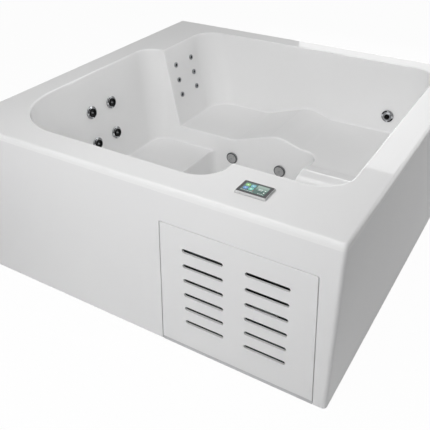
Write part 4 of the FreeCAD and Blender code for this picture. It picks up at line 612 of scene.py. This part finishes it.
def controlRibs():
    look = ribLook
    shape = bmesh.new()
    foot, top = deckLevel + look["footLift"] * mm, frameHigh.z - look["topDrop"] * mm
    lean = look["lean"] * mm * (top - foot) / (frameHigh.z - deckLevel)
    front, back = frameLow.y + look["margin"] * mm, frameHigh.y - look["margin"] * mm
    x = frameHigh.x + (look["proud"] - look["sunk"]) * mm / 2
    size = ((look["proud"] + look["sunk"]) * mm, look["wide"] * mm, top - foot)
    for index in range(look["count"]):
        y = front + (back - front) * index / (look["count"] - 1)
        rib = bmesh.ops.create_cube(shape, size=1)["verts"]
        bmesh.ops.scale(shape, verts=rib, vec=size)
        bmesh.ops.translate(shape, verts=rib, vec=(x, y, (foot + top) / 2))
        upper = [vert for vert in rib if vert.co.z > (foot + top) / 2]
        bmesh.ops.translate(shape, verts=upper, vec=(-lean, 0, 0))
    upright = [edge for edge in shape.edges
               if abs(edge.verts[0].co.z - edge.verts[1].co.z) > (top - foot) / 2]
    bmesh.ops.bevel(shape, geom=upright, offset=look["edge"] * mm, segments=2, profile=0.5, affect="EDGES",
                    material=-1)
    addPiece("controlRibs", shape, [grooveAbs], "tub")


# a grey foot that the frame sits in; its grey band along the frame's lower edge is partly painted shade
footShadeLook = {"proud": 0.5, "lift": 0.2, "tall": 4, "corner": 6, "edge": 0.6}


def controlFootAndShade():
    look = footShadeLook
    shape = bmesh.new()
    proud = look["proud"] * mm
    outline = (frameLow.x - proud, frameHigh.x + proud, frameLow.y - proud, frameHigh.y + proud)
    foot, top = deckLevel + look["lift"] * mm, deckLevel + look["tall"] * mm
    softPlate(shape, outline, foot, top, look["corner"] * mm, look["edge"] * mm)
    addPiece("controlFootAndShade", shape, [greyAbs], "tub")


controlGlass()
controlScreen()
controlRibs()
controlFootAndShade()
print("control panel made")

# camera: the photograph's own viewpoint, from its fitted edges
cameraView = {"place": (1.47324439, -2.59036458, 2.10062574), "turn": (56.03541, 0, 30.28503),
              "focalPx": 597.329, "middlePx": 229.35, "framePx": 430, "sensorMm": 36}
cameraData = bpy.data.cameras.new("photoCamera")
cameraData.sensor_width = cameraView["sensorMm"]
cameraData.lens = cameraView["focalPx"] / cameraView["framePx"] * cameraView["sensorMm"]
cameraData.shift_x = (cameraView["framePx"] / 2 - cameraView["middlePx"]) / cameraView["framePx"]
camera = bpy.data.objects.new("photoCamera", cameraData)
camera.location = cameraView["place"]
camera.rotation_euler = [math.radians(angle) for angle in cameraView["turn"]]
scene = bpy.context.scene
scene.collection.objects.link(camera)
scene.camera = camera

# studio: white surroundings and soft lamps in front and over the basin; the gloss mirrors only the last
# three lamps, and the top softbox and the low strip show only there, as bright lines along the shell's edges
studio = {"ambient": 0.1, "floor": "#FAFAFA", "floorSpan": 40, "floorWhite": 0.97}
lamps = {
    "frontNear": {"place": (0.3, -3.0, 2.9), "aim": (0.1, -0.9, 0.6), "size": (2.6, 1.4), "radiance": 2.8},
    "frontFill": {"place": (0.3, -5.0, 1.4), "aim": (0, 0, 0.5), "size": (4, 2.6), "radiance": 0.6},
    "skirtWash": {"place": (-0.1, -2.5, 1.9), "aim": (-0.1, -1.0, 0.6), "size": (3, 0.6), "radiance": 2.9},
    "basinRight": {"place": (1.0, 0.1, 2.3), "aim": (-0.9, 0.1, 0.6), "size": (2.2, 1.2), "radiance": 0.65},
    "basinHigh": {"place": (-0.1, -0.45, 2.2), "aim": (-0.1, 0.45, 0.2), "size": (1.6, 0.9),
                  "radiance": 1.05},
    "backWash": {"place": (0.2, -0.2, 2.0), "aim": (0.2, 0.9, 0.6), "size": (1.4, 0.6), "radiance": 1.1},
    "rearSoftbox": {"place": (1.4, 4.0, 1.885), "aim": (1.4, 3.0, 1.885), "size": (5.6, 2.97),
                    "radiance": 1.5, "mirrored": True},
    "topSoftbox": {"place": (0.3, 1.75, 5.5), "aim": (0.3, 1.75, 0), "size": (7, 5.5), "radiance": 2.5,
                   "mirrored": True, "lights": False},
    "edgeStrip": {"place": (0.35, 0.42, 0.655), "aim": (0.35, -1, 0.655), "size": (0.85, 0.16),
                  "radiance": 2.6, "mirrored": True, "lights": False},
}
for name, setting in lamps.items():
    lamp = bpy.data.lights.new(name, "AREA")
    lamp.shape = "RECTANGLE"
    lamp.size, lamp.size_y = setting["size"]
    lamp.energy = setting["radiance"] * math.pi * lamp.size * lamp.size_y
    holder = bpy.data.objects.new(name, lamp)
    holder.location = setting["place"]
    towards = Vector(setting["aim"]) - Vector(setting["place"])
    holder.rotation_euler = towards.to_track_quat("-Z", "Y").to_euler()
    holder.visible_camera = False
    holder.visible_glossy = setting.get("mirrored", False)
    holder.visible_diffuse = setting.get("lights", True)
    scene.collection.objects.link(holder)


def seenRays(tree):
    # 1 for the rays that look at the white surroundings: from the camera, off gloss and through glass
    path = addNode(tree, "ShaderNodeLightPath")
    direct = addNode(tree, "ShaderNodeMath", {"operation": "ADD"}, {
        0: (path, "Is Camera Ray"), 1: (path, "Is Transmission Ray")})
    return addNode(tree, "ShaderNodeMath", {"operation": "ADD", "use_clamp": True}, {
        0: (direct, "Value"), 1: (path, "Is Glossy Ray")})


world = bpy.data.worlds.new("whiteStudio")
world.use_nodes = True
tree = world.node_tree
tree.nodes.clear()
strength = addNode(tree, "ShaderNodeMapRange", inputs={
    "Value": (seenRays(tree), "Value"), "To Min": studio["ambient"], "To Max": 1.0})
sky = addNode(tree, "ShaderNodeBackground", inputs={"Color": (1, 1, 1, 1), "Strength": (strength, "Result")})
addNode(tree, "ShaderNodeOutputWorld", inputs={"Surface": (sky, "Background")})
scene.world = world

floorShape = bmesh.new()
bmesh.ops.create_grid(floorShape, x_segments=1, y_segments=1, size=studio["floorSpan"] / 2)
floorData = bpy.data.meshes.new("studioFloor")
floorShape.to_mesh(floorData)
floorShape.free()
floor = bpy.data.objects.new("studioFloor", floorData)
scene.collection.objects.link(floor)
# Matt white paint: takes the object's shadow, and is nearly the white of the surroundings to the eye
floorPaint = newMaterial("floorPaint")
tree = floorPaint.node_tree
matt = addNode(tree, "ShaderNodeBsdfDiffuse", inputs={"Color": hexColour(studio["floor"])})
white = addNode(tree, "ShaderNodeEmission", inputs={"Color": (1, 1, 1, 1), "Strength": 1.0})
share = addNode(tree, "ShaderNodeMath", {"operation": "MULTIPLY"}, {
    0: (seenRays(tree), "Value"), 1: studio["floorWhite"]})
mixed = addNode(tree, "ShaderNodeMixShader", inputs={
    0: (share, "Value"), 1: (matt, "BSDF"), 2: (white, "Emission")})
addNode(tree, "ShaderNodeOutputMaterial", inputs={"Surface": (mixed, "Shader")})
floorData.materials.append(floorPaint)
print("studio set")

scene.view_settings.view_transform = "Standard"
